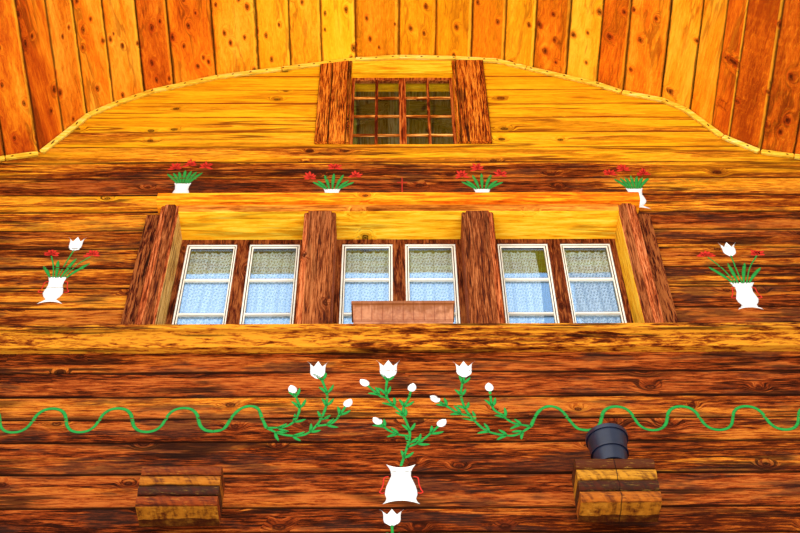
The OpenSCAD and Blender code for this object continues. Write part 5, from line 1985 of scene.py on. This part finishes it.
# Tones of the woods, from dark to pale.
HONEY = ("b86a08", "e8920c", "f4a412", "fcb81c", "ffcc30")
BRIGHT = ("c27208", "e4980c", "f2a610", "f8b416", "fcc426")
AMBER = ("8e3406", "c85a0a", "e0780e", "f29414", "fcb428")
BRICK = ("6e2006", "a8400a", "c4580c", "dc7812", "f09c28")
RUSSET = ("260a02", "5a2006", "7a2e0a", "8e3c12", "ac5a22")
ORANGE = ("602006", "94400c", "b85e12", "d27c18", "ec9e26")
DULL = ("3c1204", "6e2e0a", "8e4510", "ac6216", "cc8620")
PALE = ("d09420", "f4b82c", "fcca3c", "ffd856", "ffe888")
GOLD = ("c0780c", "ee9f12", "f6b01c", "fbc12c", "ffd248")
STRAW = ("7c4416", "b07c34", "cf9d4c", "deb362", "eecb80")
OXBLOOD = ("340e06", "6e2a10", "8e3e1a", "a85226", "c67444")
UMBER = ("240c05", "461b0b", "602b12", "7e421b", "a86c36")
CHESTNUT = ("401202", "84300a", "aa4a0c", "c46414", "e08828")
MAROON = ("180603", "341006", "4c1a0a", "682c12", "8e4e24")
RUST = ("3c0e03", "641c06", "822c0a", "9c4012", "c06a2a")
CEDAR = ("30100a", "58240e", "703414", "844420", "a46034")
SHADED_ROLL = ("5a2204", "94480c", "b8641a", "cc7c24", "e09a34")
GREYED = ("3a322c", "5a5048", "746a5e", "8c8274", "aca294")
PLAIN = ("8a5a28", "a8763c", "bc8c50", "cca266", "e0bc86")
SIDE_LOGS = Wood("side_logs", BRIGHT, Grain.DEPTH, middle=ORANGE, aged=RUSSET, calm=0.45, fibre=95.0,
                 pace=7.0, relief=0.004, knot_size=0.19, knot_share=0.22, edge_dark=0.95, plateau=0.2,
                 contrast=0.6, stain=0.3, vary=0.45)
BACK_LOGS = replace(SIDE_LOGS, name="back_logs", grain=Grain.ACROSS)
FRONT_LOGS = replace(BACK_LOGS, name="front_logs", plateau=0.3, contrast=0.78, stain=0.65, vary=0.2,
                     patches=((-2.4, 1.6, 8.05, 8.42, 0.5), (-6.0, -2.4, 8.05, 8.2, 0.3),
                              (1.6, 6.0, 8.02, 8.4, 0.15)))
# Some of the lining's boards carry a painted highlight along one edge.
LINING = Wood("lining_wood", HONEY, Grain.DEPTH, middle=AMBER, aged=BRICK, calm=1.0, fibre=85.0,
              knot=AMBER_KNOT, knot_size=0.12, knot_share=0.7, line_share=0.45, cloud=1.9, edge_highlight=0.6,
              check=0.4, vary=0.5, contrast=0.42, edge_dark=0.8)
# The strip's dark edges paint the shadow in the gaps above and below it.
STRIP = Wood("strip_wood", PALE, fibre=60.0, check=0.2, vary=0.2, contrast=0.5, nails=0.13, edge_dark=0.4,
             edge_from=0.44)
LEDGE_WOOD = Wood("ledge_wood", DULL, fibre=60.0, pace=8.0, plateau=0.35, contrast=0.9, knot_share=0.06,
                  accents=tuple(Accent((-FAR, -4.885, z - 0.06), (FAR, -4.78, z - 0.03), GOLD)
                                for z in HOUSE.row_heights))
# The roll moulding over each window head takes darker tones: painted shade on the roll.
CORNICE_WOOD = Wood("cornice_wood", GOLD, fibre=45.0, contrast=0.5, check=0.4, vary=0.1, accents=tuple(
    Accent((-FAR, -FAR, z + OPENING_H + foot), (FAR, FAR, z + OPENING_H + head), tones)
    for z in HOUSE.row_heights for foot, head, tones in ((0.002, 0.055, SHADED_ROLL), (0.055, 0.3, AMBER))))
SIDE_BOARDS = Wood("side_board_wood", MAROON, Grain.UPRIGHT, fibre=75.0, pace=7.0)
# The row's posts in front of POST_Y have tones of their own, and a pale joint lies beside the outer windows.
POST_Y = -4.9
POSTS = Wood("post_wood", OXBLOOD, Grain.UPRIGHT, fibre=95.0, pace=6.0, check=0.4, knot_share=0.12, vary=0.1,
             contrast=0.8, accents=tuple(
                 Accent((ROW_X + left, -FAR, -FAR), (ROW_X + right, back, FAR), tones)
                 for left, right, back, tones in (
                     (-0.62, 0.62, POST_Y, CEDAR), (-1.62, -1.56, POST_Y, CEDAR), (1.55, 1.6, POST_Y, CEDAR),
                     (-1.5415, -1.5, FAR, STRAW), (1.5, 1.5415, FAR, GOLD))))
FRAMES = Wood("frame_wood", MAROON, Grain.UPRIGHT, fibre=85.0, pace=7.0, check=0.3, contrast=0.7)
ATTIC = Wood("attic_wood", CHESTNUT, Grain.UPRIGHT, fibre=130.0, pace=6.0, knot_share=0.12, vary=0.05,
             edge_dark=0.7)
ATTIC_HEAD = Wood("attic_head_wood", HONEY, fibre=60.0, contrast=0.8)
ATTIC_BARS = Wood("attic_bar_wood", RUST, Grain.UPRIGHT, check=0.2)
ATTIC_RAILS = Wood("attic_rail_wood", ("6a2404", "a04c0e", "c0681c", "d88a34", "f0b060"), check=0.2)
ROOF_WOOD = Wood("roof_timber_wood", PLAIN, Grain.DEPTH, fibre=50.0)
RAFTER_WOOD = Wood("rafter_wood", PLAIN, fibre=50.0)
EDGE_WOOD = Wood("edge_board_wood", UMBER)
SHINGLE = Wood("shingle_wood", GREYED, fibre=90.0, vary=0.6, knot_share=0.02)
FLOOR_WOOD = Wood("floor_wood", PLAIN, Grain.DEPTH)
DOOR_WOOD = Wood("door_wood", UMBER, Grain.UPRIGHT)
RENDER = Plaster("lime_render", "d2c9b8", "a89c86")
SCREED = Plaster("screed", "a09a8e", "86806f")
# Painted shade: a shadow line on the glazing bars, and shade in the casements' groove and at their inner
# edge.
CREAM = Paint("cream_paint", "f8f4e6", "e2d8ba", grooves=((0.6, 1.1),))
SASH_PAINT = Paint("sash_paint", "f8f4e6", "e2d8ba", grooves=((0.415, 0.655), (0.97, 1.1)))
# Its mirror's blue tint paints a sky reflection.
GLASS = Pane("window_glass", "92bcea")
IRON = Moulded("forged_iron", "1a1817", "2c2622", 0.5, metallic=0.8)
TERRACOTTA = Panelled("terracotta_ware", "b0744f", "7e442a", 0.6, base_z=LEDGE_Z)
BLUE_POT = Moulded("dark_blue_plastic", "0c1226", "141e38", 0.4, coat=0.15)
TROUGHS = Ribbed("trough_ribs", 4, ("82340a", "30160a", "a45e14", "74300a"),
                 ("a05412", "2e160a", "b4781c", "4c2208"), (4.936, 5.208), (4.95, 5.25))
LACE = Lace("white_lace", "fffff6", "a8a284", HOUSE.curtain_y + 0.001, HOUSE.curtain_y + 0.011)
WHITE_COAT = Brushed("white_coat", "e6eae8", "d4dad8", "a89ea0")
GREEN_COAT = Brushed("green_coat", "1e8c38", "136828", "0c3412")
RED_COAT = Brushed("red_coat", "c82c1e", "a81a12", "7a1208")
DRESSING = {
    SCREED: "basement_floor",
    RENDER: "front_basement_wall back_basement_wall left_basement_wall right_basement_wall chimney",
    FRAMES: "basement_frames front_frames side_frames",
    GLASS: "basement_glass front_glass side_glass",
    DOOR_WOOD: "door_frame entrance_door",
    FLOOR_WOOD: "living_floor upper_floor attic_floor",
    ROOF_WOOD: "ridge_purlin middle_purlins eave_purlins roof_left roof_right",
    RAFTER_WOOD: "rafters",
    EDGE_WOOD: "ridge_cap front_verge_boards back_verge_boards eave_boards arch_spandrel",
    LEDGE_WOOD: "front_ledges",
    POSTS: "front_posts side_casings",
    CORNICE_WOOD: "front_cornices",
    SIDE_BOARDS: "front_side_boards",
    ATTIC_BARS: "attic_casements",
    TROUGHS: "wall_troughs",
    IRON: "trough_brackets",
    TERRACOTTA: "ledge_planter",
    BLUE_POT: "pot",
}
# The front logs' age by course, at the left and the right end of the windows' row.
COURSE_AGE = {13: (0.99, 0.86), 14: (0.98, 1.06), 15: (1.02, 0.82), 16: (0.94, 0.88), 17: (0.86, 0.84),
              18: (1.05, 1.15), 19: (0.9, 1.05), 20: (1.0, 0.95), 21: (0.8, 0.92), 22: (0.62, 0.88),
              23: (0.72, 0.8), 24: (0.73, 0.82), 25: (0.74, 0.78), 26: (0.55, 0.86), 27: (0.36, 0.58),
              28: (0.64, 0.38), 29: (0.4, 0.26), 30: (0.38, 0.2), 31: (0.24, 0.2), 32: (0.16, 0.16),
              33: (0.05, 0.05), 34: (-0.1, -0.1), 35: (-0.3, -0.3), 36: (-0.3, -0.3), 37: (-0.3, -0.3),
              38: (-0.3, -0.3)}


def gable_openings(front: bool) -> list[tuple[float, float, float, float]]:
    """Places of what is cut out of a gable wall, as widths and heights along the wall.

    Args:
        front: whether the wall is the front one.

    Returns:
        Low and high places along the wall, then low and high heights.
    """
    h = HOUSE
    cut = [(ATTIC_X - h.attic_w / 2, ATTIC_X + h.attic_w / 2, h.attic_z, h.attic_z + h.attic_h)]
    if front:
        cut += [(ROW_X - h.row_half, ROW_X + h.row_half, z - h.ledge_t, z + OPENING_H + h.lintel_t)
                for z in h.row_heights]
    else:
        cut += side_openings()
    half = h.purlin_w / 2 + h.purlin_gap
    for x in (-h.purlin_x, 0.0, h.purlin_x):
        foot = h.ridge_z - abs(x) * h.slope - h.purlin_d
        cut.append((x - half, x + half, foot, foot + 1.0))
    return cut


def side_openings() -> list[tuple[float, float, float, float]]:
    """Places of the six windows that are cut out of a side wall or the back wall."""
    h = HOUSE
    return [(k * h.side_pitch - h.side_win_w / 2, k * h.side_pitch + h.side_win_w / 2, z, z + OPENING_H)
            for z in h.row_heights for k in (-1, 0, 1)]


def main() -> None:
    """Builds the house's looks, the studio and the camera."""
    logging.basicConfig(level=logging.INFO, format="%(message)s")
    Eye().build()
    Studio().build()
    Dressing(DRESSING).build()
    front = LogWall("front_logs", Facing.FRONT, FRONT_LOGS, "front_wall", "log_front", gable_openings(True),
                    ages=COURSE_AGE)
    front.build()
    Ornaments(front, WHITE_COAT, GREEN_COAT, RED_COAT).build()
    for side, finish, openings in (("back", BACK_LOGS, gable_openings(False)),
                                   ("left", SIDE_LOGS, side_openings()),
                                   ("right", SIDE_LOGS, side_openings())):
        LogWall(f"{side}_logs", Facing[side.upper()], finish, f"{side}_wall", "log_side", openings).build()
    lining = Lining(LINING, STRIP)
    lining.build()
    lining.strip()
    Casements(SASH_PAINT).build()
    AtticCasings(ATTIC, ATTIC_HEAD).build()
    windows = FrontWindows(CREAM, ATTIC_BARS, ATTIC_RAILS, LACE, IRON)
    windows.bars()
    windows.attic_bars()
    windows.curtains(windows.rods())
    Shingles(SHINGLE).build()
    bpy.context.scene.view_settings.view_transform = "Standard"


if __name__ == "__main__":
    main()
